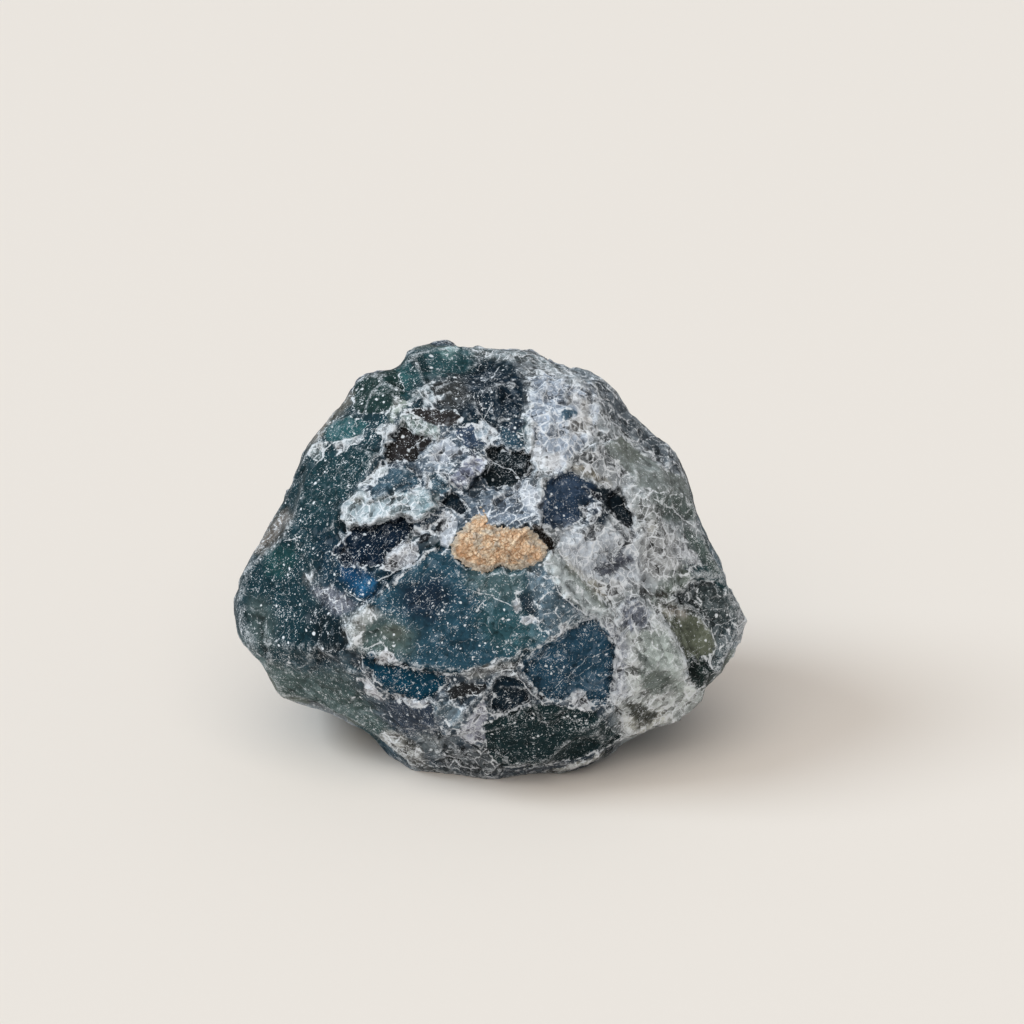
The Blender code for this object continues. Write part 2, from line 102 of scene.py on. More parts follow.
# Each ledge or hollow: its outline, how far it stands out, and how much more for each mm across and up.
LEDGES = {
    "pale ledge": (
        [(-20.8, 6.0), (-19.8, 4.8), (-18.0, 4.4), (-15.5, 5.2), (-12.8, 6.2), (-10.0, 5.5),
         (-7.0, 7.3), (-9.5, 9.7), (-12.5, 9.8), (-16.0, 9.0), (-18.5, 9.5), (-20.4, 7.8)],
        1.5, 0.04, -0.12),
    "ledge back": (
        [(-19.8, 8.4), (-15.0, 12.4), (-11.0, 12.9), (-8.0, 11.6), (-9.0, 9.6), (-12.5, 9.4), (-16.0, 8.2)],
        0.5, 0.0, -0.08),
    "navy hollow": (
        [(-20.0, 4.4), (-20.5, 0.0), (-16.0, -1.4), (-12.0, 2.6), (-9.5, 3.4), (-11.0, 5.6),
         (-13.0, 6.0), (-16.8, 4.6)],
        -1.0, -0.05, -0.05),
    "big facet": (
        [(-20.2, -8.8), (-18.0, -6.8), (-14.0, -2.8), (-8.0, 1.8), (-4.8, 1.2), (-1.0, -1.6),
         (5.0, -1.6), (8.6, -2.4), (12.6, -7.4), (8.6, -11.0), (3.0, -13.6), (-3.0, -15.8),
         (-9.0, -15.0), (-16.0, -13.6), (-19.6, -12.0)],
        1.1, -0.03, 0.0),
    "teal crescent": (
        [(-17.6, -13.6), (-9.0, -15.2), (-5.0, -16.4), (-8.0, -19.4), (-13.0, -19.2), (-15.8, -17.0)],
        -0.5, 0.0, 0.10),
    "pale chip": (
        [(-8.0, -19.4), (-3.8, -19.8), (-2.6, -21.2), (-6.0, -24.0), (-8.0, -22.2)],
        0.5, 0.0, 0.05),
    "navy facet": (
        [(4.2, -14.6), (8.4, -11.4), (14.0, -7.6), (16.8, -11.0), (17.4, -13.0), (16.4, -19.6),
         (13.8, -19.6), (10.5, -19.0), (7.4, -19.4)],
        -0.9, 0.02, -0.03),
    "dark wedge": (
        [(0.2, -16.8), (3.6, -15.8), (6.6, -19.0), (2.0, -21.6), (-0.4, -20.0)],
        -0.8, 0.0, 0.0),
    "brown hollow": (
        [(-14.8, 15.4), (-12.6, 18.6), (-7.4, 16.6), (-10.5, 13.6), (-14.0, 13.6)],
        -1.1, 0.08, 0.0),
    "lilac shard": (
        [(-7.6, 12.0), (-4.0, 14.0), (-1.6, 14.9), (-0.2, 13.6), (-3.0, 10.0), (-5.8, 10.6)],
        0.8, 0.0, -0.10),
    "black hollow": (
        [(-0.6, 15.6), (3.5, 15.2), (5.8, 14.2), (5.6, 11.2), (3.0, 9.2), (-2.6, 10.0), (0.0, 13.6)],
        -1.2, 0.0, 0.0),
    "black chip": (
        [(-6.8, 8.0), (-5.6, 9.3), (-3.2, 7.8), (-3.6, 6.2), (-5.2, 6.7)],
        -0.9, 0.0, 0.0),
    "slate facet": (
        [(6.8, 6.4), (7.2, 9.4), (9.8, 12.2), (11.8, 12.2), (14.0, 8.4), (12.6, 4.8), (8.6, 4.6)],
        -0.7, 0.0, 0.05),
    "black notch": (
        [(15.8, 9.0), (17.3, 9.9), (19.5, 6.8), (19.7, 3.4), (17.0, 5.6)],
        -1.6, 0.10, 0.0),
    "frosted brow": (
        [(4.4, 19.6), (5.4, 23.6), (9.0, 25.2), (14.4, 24.0), (14.6, 17.6), (12.0, 13.8), (8.4, 10.6),
         (6.0, 12.0)],
        0.6, 0.0, 0.0),
    "shoulder band": (
        [(14.6, 21.8), (18.4, 17.2), (21.5, 14.6), (26.6, 12.4), (25.8, 16.0), (18.6, 22.6), (15.0, 26.0)],
        -1.3, -0.06, 0.0),
    "grey tongue": (
        [(7.2, -0.2), (8.8, 1.0), (12.0, -1.4), (16.6, -6.8), (15.0, -7.9), (10.4, -5.2), (8.8, -2.2)],
        0.7, 0.0, -0.05),
    "right column": (
        [(17.2, -6.6), (20.6, -5.0), (24.4, -9.0), (26.8, -13.8), (27.2, -17.6), (29.6, -18.6),
         (28.0, -22.4), (19.0, -25.4), (17.0, -19.0), (17.4, -12.6)],
        1.6, 0.05, 0.0),
    "olive lobe": (
        [(24.0, -6.4), (27.4, -6.6), (30.4, -9.8), (31.3, -12.0), (30.6, -13.2), (26.8, -13.4),
         (25.6, -9.6)],
        -1.0, -0.02, 0.0),
    "tip": (
        [(25.0, -4.8), (29.5, -2.4), (33.5, -4.0), (36.0, -10.0), (33.0, -15.0), (29.4, -17.8),
         (26.8, -15.0), (30.9, -13.2), (30.6, -9.6), (27.6, -6.4)],
        -1.9, 0.0, 0.0),
    "grey toe": (
        [(-8.2, -27.2), (-5.4, -25.8), (0.0, -26.0), (4.6, -28.8), (-4.0, -31.0)],
        0.6, 0.0, 0.05),
    "crust pit": (
        [(-5.3, 1.0), (-5.0, 2.8), (-3.2, 4.6), (-1.8, 5.8), (-0.6, 4.9), (3.0, 4.2), (5.4, 4.7),
         (6.6, 4.6), (8.6, 2.0), (8.4, 1.2), (6.6, 0.4), (4.2, -0.6), (-1.0, -1.3), (-4.0, -0.5)],
        -1.0, 0.0, 0.0),
}

# Shell-shaped chips struck off the edges between breaks, each cut by a sphere that dips below them.
SEED = 11
CHIPS = 260
CHIP_RADIUS = (9.0, 26.0)
CHIP_DEPTH = (0.35, 1.1)
CHIP_EDGE = 2.2                  # how near an edge a chip has to start
CHIP_FRONT = 0.45                # no chip starts nearer to the front than this

# Small facets all over, with bent borders, and patches of the wide face and a rim where they are lower.
FACETS = 330
FACET_LIFT = 0.30
FACET_TILT = 0.115
FACET_EDGE = 0.02
BORDER_BEND, BORDER_PACE = 0.035, 7.0
BORDER_PHASES = (0.3, 1.7, 2.9)
CALM_PATCHES = [
    (-6.0, -7.0, 13.0), (-25.0, -3.0, 9.0), (10.5, -14.5, 5.5), (10.2, 8.4, 4.0), (-14.0, 7.5, 6.0),
]
CALM_SHARE = 0.7
CALM_FADE = (0.75, 1.15)
RIM_CALM, RIM_WIDTH = 0.75, 0.3


def lowest_blend(first, second, width):
    """The lesser of two arrays, with the crease between them rounded over the given width:
    min(a, b) - w / 4 * (1 - |a - b| / w)^2 where they are closer than w."""
    closeness = np.clip(1 - np.abs(first - second) / width, 0, 1)
    return np.minimum(first, second) - closeness**2 * width / 4


def outline_reach(turn, outline, middle=(0.0, 0.0)):
    """How far a closed outline lies from its middle, in each direction turned to."""
    corners = np.array(outline) - middle
    angles = np.arctan2(corners[:, 1], corners[:, 0])
    order = np.argsort(angles)
    return np.interp(turn, angles[order], np.hypot(*corners.T)[order], period=2 * math.pi)


def inside_depth(across, up, outline):
    """Distance to a closed outline, positive inside it, from each point."""
    corners = np.array(outline, float)
    nearest = np.full(across.shape, NEVER)
    inside = np.zeros(across.shape, bool)
    for (ax, ay), (bx, by) in zip(corners, np.roll(corners, -1, axis=0)):
        ex, ey = bx - ax, by - ay
        along = np.clip(((across - ax) * ex + (up - ay) * ey) / (ex * ex + ey * ey), 0, 1)
        nearest = np.minimum(nearest, np.hypot(across - ax - along * ex, up - ay - along * ey))
        if ey:
            crosses = (ay > up) != (by > up)
            inside ^= crosses & (across < ax + (up - ay) * ex / ey)
    return np.where(inside, nearest, -nearest)


def step(value, low, high):
    """0 below low, 1 above high, and a smooth rise of s^2 (3 - 2 s) between."""
    share = np.clip((value - low) / (high - low), 0, 1)
    return share * share * (3 - 2 * share)


def uncut_reach(ways):
    """How far the rounded blank reaches: as wide as the outline and as deep as the two bulges, at
    (wide^n + deep^n)^(-1 / n) along a way whose shares of them are wide and deep."""
    across, up, out = ways.T
    wide = np.hypot(across, up) / outline_reach(np.arctan2(up, across), OUTLINE)
    deep = np.abs(out) / np.where(out > 0, FRONT_BULGE, BACK_BULGE)
    return (wide**ROUNDNESS + deep**ROUNDNESS) ** (-1 / ROUNDNESS)


def break_reach(ways, facing, through):
    """How far a flat break lies along each way, (normal . through) / (normal . way), or never where the
    way doesn't lean towards it."""
    normal = np.array(facing, float) / np.linalg.norm(facing)
    distance = normal @ np.array(through, float)
    slant = ways @ normal
    return np.where(slant > GRAZING, distance / np.maximum(slant, GRAZING), NEVER)


def broken_reach(ways):
    """How far the blank reaches once every large break is cut, and how near each way is to an edge."""
    reach = uncut_reach(ways)
    second = np.full(len(ways), NEVER)
    for facing, through in BREAKS.values():
        other = break_reach(ways, facing, through)
        second = np.minimum(second, np.maximum(reach, other))
        reach = lowest_blend(reach, other, BREAK_EDGE)
    return reach, second - reach


def chipped_reach(ways, reach):
    """Cuts the seeded chips: along each way, the skin moves in to the near side of each sphere."""
    random = np.random.default_rng(SEED)
    starts = random.normal(size=(CHIPS, 3))
    starts /= np.linalg.norm(starts, axis=1, keepdims=True)
    sizes = random.uniform(*CHIP_RADIUS, CHIPS)
    depths = random.uniform(*CHIP_DEPTH, CHIPS)
    start_reach, to_edge = broken_reach(starts)
    kept = (to_edge < CHIP_EDGE) & (starts[:, 2] < CHIP_FRONT)
    for start, size, away in zip(starts[kept], sizes[kept], (start_reach + sizes - depths)[kept]):
        along = ways @ (start * away)
        beyond = along**2 - away**2 + size**2
        near_side = along - np.sqrt(np.maximum(beyond, 0))
        reach = np.where((beyond > 0) & (along > 0), np.minimum(reach, near_side), reach)
    return reach


def facet_rise(ways):
    """The small facets: each way takes the tilt and height of its nearest facet, creased at the borders."""
    random = np.random.default_rng(SEED + 1)
    middles = random.normal(size=(FACETS, 3))
    middles /= np.linalg.norm(middles, axis=1, keepdims=True)
    tilts = random.normal(size=(FACETS, 3)) * FACET_TILT
    lifts = random.uniform(-FACET_LIFT, FACET_LIFT, FACETS)
    bent = ways + BORDER_BEND * np.sin(BORDER_PACE * ways[:, [1, 2, 0]] + BORDER_PHASES)
    nearest, next_one = np.full((2, len(ways)), NEVER)
    own, other = np.zeros((2, len(ways)))
    for middle, tilt, lift in zip(middles, tilts, lifts):
        apart = bent - middle
        away = np.sqrt((apart**2).sum(axis=1))
        rise = lift + TYPICAL_REACH * (apart @ tilt)
        closer = away < nearest
        close = (away < next_one) & ~closer
        next_one = np.where(closer, nearest, np.where(close, away, next_one))
        other = np.where(closer, own, np.where(close, rise, other))
        nearest = np.where(closer, away, nearest)
        own = np.where(closer, rise, own)
    share = 0.5 + 0.5 * step(next_one - nearest, 0, FACET_EDGE)
    return own * share + other * (1 - share)


def calmness(across, up):
    """0 where the facets have their full height, rising to CALM_SHARE on the smooth patches."""
    calm = np.zeros(across.shape)
    for middle_across, middle_up, reach in CALM_PATCHES:
        away = np.hypot(across - middle_across, up - middle_up)
        calm = np.maximum(calm, 1 - step(away, reach * CALM_FADE[0], reach * CALM_FADE[1]))
    return calm * CALM_SHARE


def floor_reach(ways):
    """How far the flat break that the lump rests on lies along each way."""
    down = np.array((0.0, -math.cos(LEAN), -math.sin(LEAN)))
    slant = ways @ down
    return np.where(slant > GRAZING, MIDDLE[2] / np.maximum(slant, GRAZING), NEVER)


def ledge_rise(across, up, ledges):
    """How far each ledge and hollow lifts or sinks the wide face, its outline a little ragged."""
    rise = np.zeros(across.shape)
    ragged_across, ragged_up = across, up
    for height, pace, cross_pace in LEDGE_WAVES:
        ragged_across = ragged_across + height * np.sin(pace * up + cross_pace * across)
        ragged_up = ragged_up + height * np.sin(pace * across - cross_pace * up + 2)
    for outline, out, per_across, per_up in ledges.values():
        middle = np.mean(outline, axis=0)
        share = step(inside_depth(ragged_across, ragged_up, outline), -LEDGE_EDGE, LEDGE_EDGE)
        rise += share * (out + per_across * (across - middle[0]) + per_up * (up - middle[1]))
    return rise


def as_seen(points):
    """Where points appear across and up from the eye, at eye + (point - eye) * distance / (distance - out):
    what stands further out looks a little larger."""
    nearer = EYE[2] / (EYE[2] - points[:, 2])
    return tuple(EYE[axis] + (points[:, axis] - EYE[axis]) * nearer for axis in (0, 1))


def skin(ways, ledges=LEDGES):
    """The lump's surface point along each way from its middle, before its fine relief."""
    reach, _ = broken_reach(ways)
    reach = chipped_reach(ways, reach)
    points = ways * reach[:, None]
    front = step(ways[:, 2], FRONT_FROM, FRONT_FULL)
    rough = 1 - calmness(*as_seen(points)) * front
    rough *= 1 - RIM_CALM * np.exp(-((ways[:, 2] / RIM_WIDTH) ** 2))
    reach = np.minimum(reach + facet_rise(ways) * rough, floor_reach(ways))
    points = ways * reach[:, None]
    points[:, 2] += ledge_rise(*as_seen(points), ledges) * front
    return points


def placed(points):
    """Face-frame millimetres turned into the frame's metres, and kept above the floor."""
    across, up, out = points.T
    x = MIDDLE[0] + across
    y = MIDDLE[1] + up * math.sin(LEAN) - out * math.cos(LEAN)
    z = MIDDLE[2] + up * math.cos(LEAN) + out * math.sin(LEAN)
    z = np.where(z < FLOOR_SNAP, 0.0, z)
    return np.stack((x, y, z), axis=1) * MM


def cell_numbers(cells, seed, count):
    """Random numbers from 0 to 1 for each whole-number cell of space, the same ones on every run."""
    state = (cells @ np.array((73856093, 19349663, 83492791)) + seed * 1013904223).astype(np.uint64)
    numbers = []
    for _ in range(count):
        state = (state ^ (state >> np.uint64(30))) * np.uint64(0xBF58476D1CE4E5B9)
        state = (state ^ (state >> np.uint64(27))) * np.uint64(0x94D049BB133111EB)
        state = state ^ (state >> np.uint64(31))
        numbers.append((state >> np.uint64(11)).astype(float) / 2**53)
    return np.stack(numbers, axis=-1)


def clouds(points, size, seed, layers=3):
    """Smooth noise from 0 to 1: random corner values blended over cells of the given size, in layers."""
    total, weight = np.zeros(len(points)), 0.0
    for layer in range(layers):
        spot = points / size * 2**layer
        cell = np.floor(spot).astype(np.int64)
        within = spot - cell
        within = within * within * (3 - 2 * within)
        value = np.zeros(len(points))
        for corner in np.ndindex(2, 2, 2):
            corner = np.array(corner)
            share = np.prod(np.where(corner, within, 1 - within), axis=1)
            value += share * cell_numbers(cell + corner, seed + layer, 1)[:, 0]
        total += value / 2**layer
        weight += 1 / 2**layer
    return total / weight


def shards(points, size, tilt, lift, seed, crease=0.15):
    """Flat facets on a jittered lattice: each point takes the tilt and height of its nearest one.

    Gives its rise, how far it is from a border, both in shares of the size, its facet's number and middle."""
    spot = points / size
    cell = np.floor(spot).astype(np.int64)
    nearest, next_one = np.full((2, len(points)), NEVER)
    own, other, lot = np.zeros((3, len(points)))
    centre = np.zeros((len(points), 3))
    for offset in np.ndindex(3, 3, 3):
        here = cell + np.array(offset) - 1
        numbers = cell_numbers(here, seed, 7)
        apart = spot - here - numbers[:, :3]
        away = np.sqrt((apart**2).sum(axis=1))
        rise = lift * (2 * numbers[:, 6] - 1) + tilt * (apart * (2 * numbers[:, 3:6] - 1)).sum(axis=1)
        closer = away < nearest
        close = (away < next_one) & ~closer
        next_one = np.where(closer, nearest, np.where(close, away, next_one))
        other = np.where(closer, own, np.where(close, rise, other))
        nearest = np.where(closer, away, nearest)
        own = np.where(closer, rise, own)
        lot = np.where(closer, numbers[:, 5], lot)
        centre = np.where(closer[:, None], (here + numbers[:, :3]) * size, centre)
    share = 0.5 + 0.5 * step(next_one - nearest, 0, crease)
    return own * share + other * (1 - share), next_one - nearest, lot, centre


# Its colours on the wide face, as seen lit from a step away, from 0 to 255, so that they hold painted shading
# as well as the stone's own colour: patches laid over each other in order. Each is an outline, a colour, how
# much of it is white frost, and how far a soft edge fades.
PATCHES = [
    # the large fields
    ([(-36, 4), (-24, 18), (-17, 27), (-4, 31), (0, 24), (-12, 12), (-20, 5), (-24, -4), (-21, -14),
      (-30, -15), (-37, -8)], (24, 52, 60), 0.06, 1.5),
    ([(-13, 27), (-4, 32), (6, 30), (12, 27), (6, 20), (-2, 17), (-9, 19)], (22, 42, 52), 0.18, 1.5),
    ([(-20, 6), (-18, 12), (-12, 20), (-3, 18), (4, 17), (7, 9), (2, 5), (-8, 3)], (70, 82, 94), 0.3, 1.2),
    ([(4, 27), (13, 28), (20, 22), (28, 13), (30, 4), (21, -6), (12, -2), (8, 3), (6, 10)],
     (149, 150, 152), 0.44, 1.2),
    ([(8, 2), (20, -5), (26, -8), (29, -18), (28, -24), (18, -26), (16, -18), (15, -8), (9, -3)],
     (174, 174, 173), 0.44, 1.2),
    ([(-24, 4), (-10, 3), (-5, -1), (8, -3), (10, -10), (4, -15), (-12, -16), (-24, -14)],
     (24, 50, 64), 0.12, 1.5),
    ([(-22, -12), (-6, -15), (6, -13), (18, -10), (17, -20), (14, -30), (-10, -31), (-16, -24)],
     (62, 72, 82), 0.24, 1.5),
    ([(-37, -10), (-30, -15), (-20, -15), (-13, -25), (-20, -25), (-36, -18)], (72, 88, 88), 0.14, 1.2),
    # the top and the left shoulder
    ([(-13.5, 26.3), (-11, 28.8), (-8.5, 30.6), (-6, 31), (-4.5, 29.8), (-2, 29), (-3, 26), (-6, 25.5),
      (-9, 25), (-11.5, 22.5)], (42, 74, 78), 0.16, 0.8),
    ([(-11.5, 28), (-9.5, 28.8), (-8.4, 27), (-9, 25.4), (-11, 26)], (20, 44, 48), 0.06, 0.7),
    ([(-13, 26), (-12, 26.5), (-11, 24.8), (-12, 23), (-13, 24)], (44, 86, 88), 0.14, 0.7),
    ([(-7.4, 30.6), (-6, 31), (-4.6, 29.6), (-5.4, 27.8), (-6.8, 28.3)], (110, 140, 138), 0.3, 0.7),
    ([(-19.2, 23.8), (-17.8, 25.4), (-15, 26.2), (-13.2, 26.4), (-11.8, 23.5), (-13.5, 21.7), (-14.2, 20.5),
      (-17, 20.1), (-19, 20.6)], (30, 54, 52), 0.12),
    ([(-20.6, 24), (-19, 23), (-20.2, 21), (-24, 16.6), (-26, 15.5), (-22, 21)],
     (140, 130, 120), 0.35, 0.8),
    ([(-22.6, 18.5), (-20.5, 19.6), (-18, 19.8), (-17, 18.8), (-18, 17.2), (-19.5, 16.6), (-21.5, 16),
      (-23.5, 17)], (46, 86, 90), 0.12),
    ([(-21.4, 14.7), (-20.2, 15.4), (-18, 16.3), (-17.7, 17.3), (-19, 16.9), (-21.3, 15.9)],
     (136, 139, 142), 0.8),
    ([(-25.4, 15), (-24.3, 15.8), (-22.4, 16.5), (-23.2, 14.4), (-24, 13.3)], (124, 131, 131), 0.7),
    ([(-24.5, 14), (-20, 15), (-17, 15.8), (-15, 15.2), (-16, 12.5), (-19, 9.5), (-24, 6), (-27.5, 8)],
     (24, 54, 60), 0.08, 1.2),
    ([(-5, 20), (-4, 25), (0, 26.5), (4.8, 25.5), (5, 20.5), (1.5, 18.5), (-1.5, 20)],
     (14, 34, 47), 0.16, 1),
    ([(-9, 24.6), (-4, 25.4), (-2.5, 22), (-5, 20.6), (-8, 21)], (54, 54, 54), 0.16, 1.2),
    ([(-3, 29.4), (6, 29.3), (11, 27.4), (10, 26.2), (5.5, 27.3), (-2.5, 28)], (110, 115, 116), 0.45, 0.8),
    ([(-7.7, 24.6), (-8.4, 23.6), (-11.2, 21.2), (-11.8, 21.8), (-9.4, 24)], (116, 124, 126), 0.7),
    ([(-6.3, 22.9), (-8, 21.2), (-9.4, 21.2), (-8.8, 22.6)], (141, 146, 149), 0.8),
    ([(-12, 22.5), (-11.3, 21.5), (-12.5, 20.5), (-13.7, 19), (-13.9, 20.7), (-13, 22)],
     (146, 152, 142), 0.5, 0.5),
    ([(-11.8, 20.6), (-9, 20.8), (-5, 20.5), (-4, 19.5), (-5, 18.5), (-7.5, 18.8), (-9.5, 19.3)],
     (46, 41, 41), 0.1),
    ([(-12.5, 19.8), (-11, 20.2), (-9, 19), (-7, 18.3), (-7.2, 16.4), (-8.3, 17.2), (-10.5, 17.2),
      (-12.2, 18.6)], (120, 130, 126), 0.4),
    ([(-15.3, 18.7), (-14, 19), (-12.8, 18.4), (-13.5, 17), (-14.3, 15.9), (-14.9, 17.2), (-16, 17.8)],
     (139, 141, 144), 0.75),
    # painted shade: the dark brown that fills the shadowed hollow under the shards
    ([(-12.3, 18.6), (-10.8, 17.6), (-8, 16.8), (-9.2, 15), (-10.3, 13.7), (-14.2, 13.6), (-14.8, 15),
      (-13.8, 16.3)], (40, 35, 35), 0.05),
    # the jumble of shards above the ledge
    ([(-7.8, 16), (-5.8, 17), (-5, 15.7), (-3, 15.2), (-5, 14.3), (-6.8, 13.3), (-8.7, 13)],
     (145, 147, 156), 0.6),
    ([(-5, 17.7), (-2.5, 19), (-1.5, 18.5), (-1, 16), (-2.3, 15), (-4, 16.2)], (58, 72, 92), 0.15),
    ([(-1.4, 19.6), (-2.2, 17), (-0.5, 16.4), (1.6, 17.2)], (136, 144, 152), 0.7),
    ([(-2.5, 14.8), (-0.8, 14), (-0.4, 12.6), (-1.5, 11.9), (-2.8, 10.7), (-4.5, 9.8), (-5.7, 10.8),
      (-5.2, 12), (-3.8, 13.3)], (112, 112, 128), 0.4),
    ([(-9.5, 13), (-6.8, 13.2), (-5, 13.6), (-5.6, 12), (-7.5, 12)], (120, 128, 138), 0.5, 0.6),
    ([(0, 16), (1.5, 16), (1.8, 15), (3.8, 15), (5.8, 14.5), (5.5, 12.6), (4.5, 11.5), (3.3, 10.2), (1, 10),
      (-0.5, 10.2), (-1.5, 11.8), (-0.3, 13.5), (-1, 15.2)], (8, 22, 28), 0.02),
    ([(1, 18.5), (3.5, 17.5), (5.3, 15.5), (3.5, 15), (1.8, 15.8)], (40, 64, 78), 0.1),
    ([(-14.5, 12.6), (-12, 13), (-10.7, 12.3), (-9.8, 10.6), (-11, 9.5), (-13.2, 9.2), (-15, 8.8),
      (-16.5, 8.3), (-16.8, 9.5), (-15.6, 11)], (60, 84, 98), 0.2),
    ([(-18.4, 10.4), (-17.4, 9.8), (-14, 12.4), (-14.5, 13.2)], (142, 144, 144), 0.6),
    ([(-8.5, 11.8), (-7.5, 12), (-5.8, 10.9), (-5, 10), (-6.3, 9.3), (-8.2, 9.2)], (75, 100, 114), 0.25),
    ([(-20.8, 6), (-20.3, 7.6), (-19, 9), (-17.9, 9.8), (-17, 9.3), (-16.5, 8.2), (-15, 8.6), (-13.2, 9.3),
      (-10.5, 9.4), (-9.5, 10.1), (-8.7, 9.4), (-7.1, 8.9), (-6.9, 7.9), (-7.8, 6.5), (-9, 5.9),
      (-9.6, 5.5), (-11, 5.8), (-12.9, 6.2), (-13.8, 5.8), (-15, 5.2), (-16, 4.8), (-17.3, 4.4),
      (-19.6, 4.7), (-20.3, 5.4)], (141, 151, 155), 0.5),
    ([(-10.2, 9), (-8.8, 9.6), (-7.2, 8.6), (-8, 6.8), (-9.8, 6.6)], (124, 143, 149), 0.3, 0.35),
    ([(-19.6, 8.6), (-17.8, 9), (-17.5, 8), (-19, 7.7)], (150, 150, 145), 0.4, 0.5),
    ([(-7, 8), (-6.2, 9.2), (-5.5, 9.4), (-4.3, 8.6), (-3.3, 7.6), (-3.1, 6.8), (-3.9, 6), (-4.6, 6.5),
      (-5.6, 7.2)], (12, 28, 38), 0),
    # the upper right, frosted
    ([(5, 25), (7, 25.8), (10, 25), (11, 23.5), (14, 25), (15, 22), (14.5, 19), (14, 16.5), (12, 15),
      (10.5, 13.5), (10, 12.5), (8.5, 12), (7, 13), (6, 14.5), (6.4, 16.4), (5.2, 17.6), (6.3, 18.8),
      (4.6, 20.2), (5.9, 21.4), (4.7, 22.8), (6, 23.8)], (139, 145, 158), 0.54),
    ([(6.2, 15.6), (8, 14.8), (9.8, 14.8), (10.3, 13.2), (8.6, 12.2), (7, 12.8), (6, 14)],
     (196, 192, 194), 0.62, 0.5),
    ([(9, 20.8), (10.5, 20.9), (11.6, 20.4), (11.2, 19.6), (9.8, 19.4)], (75, 98, 114), 0.1),
    ([(12.2, 22.3), (13.4, 22.3), (14, 20.5), (14.2, 18.5), (13.5, 17), (12.3, 17.2), (11, 17.5),
      (10.5, 18.8), (11.8, 19.5), (12.2, 20.8)], (206, 199, 196), 0.6, 0.6),
    ([(10.8, 22.5), (11.8, 23.4), (12.1, 22), (10.6, 21.5)], (204, 200, 200), 0.6, 0.5),
    ([(11, 26.5), (13.5, 26.4), (15.3, 25.4), (17.6, 23), (20.4, 19.4), (23.9, 16.8), (26.4, 13),
      (26.4, 11.5), (24, 13), (20.8, 15.5), (18, 17.8), (15.3, 20.5), (14.8, 22.5), (14, 24)],
     (84, 90, 96), 0.3, 0.7),
    ([(16.5, 16.5), (17.8, 17.3), (19, 16.4), (20.5, 15), (22.5, 13.8), (24, 12.5), (26.8, 11.5), (27.8, 9),
      (24.5, 9), (20.5, 9.8), (19, 11.5), (18, 13), (17, 14), (15.5, 15)], (134, 137, 134), 0.18),
    ([(16.6, 16.2), (18, 17), (21, 14.4), (20, 13.4), (18, 14.6)], (128, 131, 124), 0.12, 0.5),
    ([(21.5, 9.4), (27.8, 9), (29.2, 5.5), (24, 5.4), (21.8, 7)], (92, 100, 96), 0.2, 0.5),
    ([(12, 14.6), (14.6, 15.6), (17, 13.6), (18.4, 10.8), (15.8, 10.2), (13, 12)],
     (132, 132, 134), 0.5, 0.8),
    ([(19.6, 9.6), (22.4, 8.6), (24, 4), (22, 0), (19.8, 2), (19.8, 6)], (146, 146, 144), 0.5, 0.8),
    ([(10.5, 12.8), (12, 13.2), (14, 12.4), (15.5, 11.3), (16.2, 10.3), (13, 11.8)],
     (152, 142, 128), 0.4, 0.6),
    ([(9.6, 12.2), (11.4, 12.2), (13.2, 11), (14.6, 10), (15.6, 9.7), (15.6, 8), (13, 7.6), (12.6, 5.6),
      (11, 4.6), (9, 4.3), (7, 4.8), (6.2, 7.7), (7.2, 9), (8, 11.3)], (44, 61, 82), 0.12),
    ([(9.4, 11), (11.6, 11.2), (12.2, 9.6), (10.2, 8.8)], (74, 90, 114), 0.15, 0.8),
    ([(12, 8), (15.5, 8.4), (16.6, 6.6), (15.8, 4.8), (12.4, 4.8)], (34, 46, 58), 0.1, 0.5),
    ([(12.4, 7.2), (13.4, 8.1), (14.6, 8), (15.4, 6.9), (15, 5.6), (13.8, 5.2), (12.7, 5.8)],
     (136, 136, 142), 0.75),
    ([(13.1, 6.9), (13.9, 7.5), (14.7, 6.9), (14.3, 6.1), (13.5, 6.1)], (60, 66, 78), 0.1),
    ([(13.5, 9.8), (16.5, 9.8), (16.2, 8.5), (14, 8.5)], (32, 36, 46), 0.05),
    # the black notch: dark crystal, with painted shade in the notch darkening it further
    ([(14.4, 9.9), (16.4, 10), (18.3, 8.7), (19.5, 6.1), (19.7, 3.5), (17.4, 5.2), (16.6, 6.6), (15.5, 6.8),
      (15.2, 8.4)], (18, 30, 38), 0.01),
    # the left of the wide face
    ([(-33.5, -5), (-31, -5.4), (-29.6, -9), (-30.4, -12.4), (-33.4, -12)], (74, 88, 88), 0.12, 1.2),
    ([(-25.5, -7), (-22, -6.8), (-19.8, -9), (-20.4, -13), (-24, -14.4)], (14, 34, 42), 0.08, 1.2),
    ([(-33.6, 1.6), (-31.6, 4), (-28.6, 7), (-27.4, 6), (-29.6, 2.8), (-31.8, 0.6)],
     (112, 102, 94), 0.3, 0.8),
    ([(-31, 1), (-29.5, 2), (-27.5, 1.8), (-27, 0), (-29, -2.5), (-31, -2)], (30, 66, 68), 0.08, 0.9),
    ([(-19, 4.5), (-15, 5.3), (-12, 6), (-10.2, 4.5), (-12, 2.5), (-14.5, 1), (-15, -1), (-20.5, -0.7),
      (-22, 1)], (4, 26, 44), 0.05),
    ([(-14.8, -0.3), (-13.5, 1.5), (-12, 2.6), (-11.3, 3), (-10.2, 2), (-9.9, 0.6), (-11, -0.8),
      (-12.5, -1.5), (-13.5, -1.9), (-14.4, -1.6)], (152, 149, 153), 0.7),
    ([(-21, -0.9), (-19, -0.8), (-17.3, -1.3), (-16.2, -2), (-15.8, -3.5), (-16.2, -4.8), (-17.5, -5),
      (-18.9, -4.3), (-20.8, -2.5)], (18, 60, 92), 0.06, 0.5),
    ([(-19, -3), (-17, -2.2), (-16.2, -3.4), (-16.6, -4.6), (-18.2, -4.6)], (40, 100, 140), 0.08, 0.9),
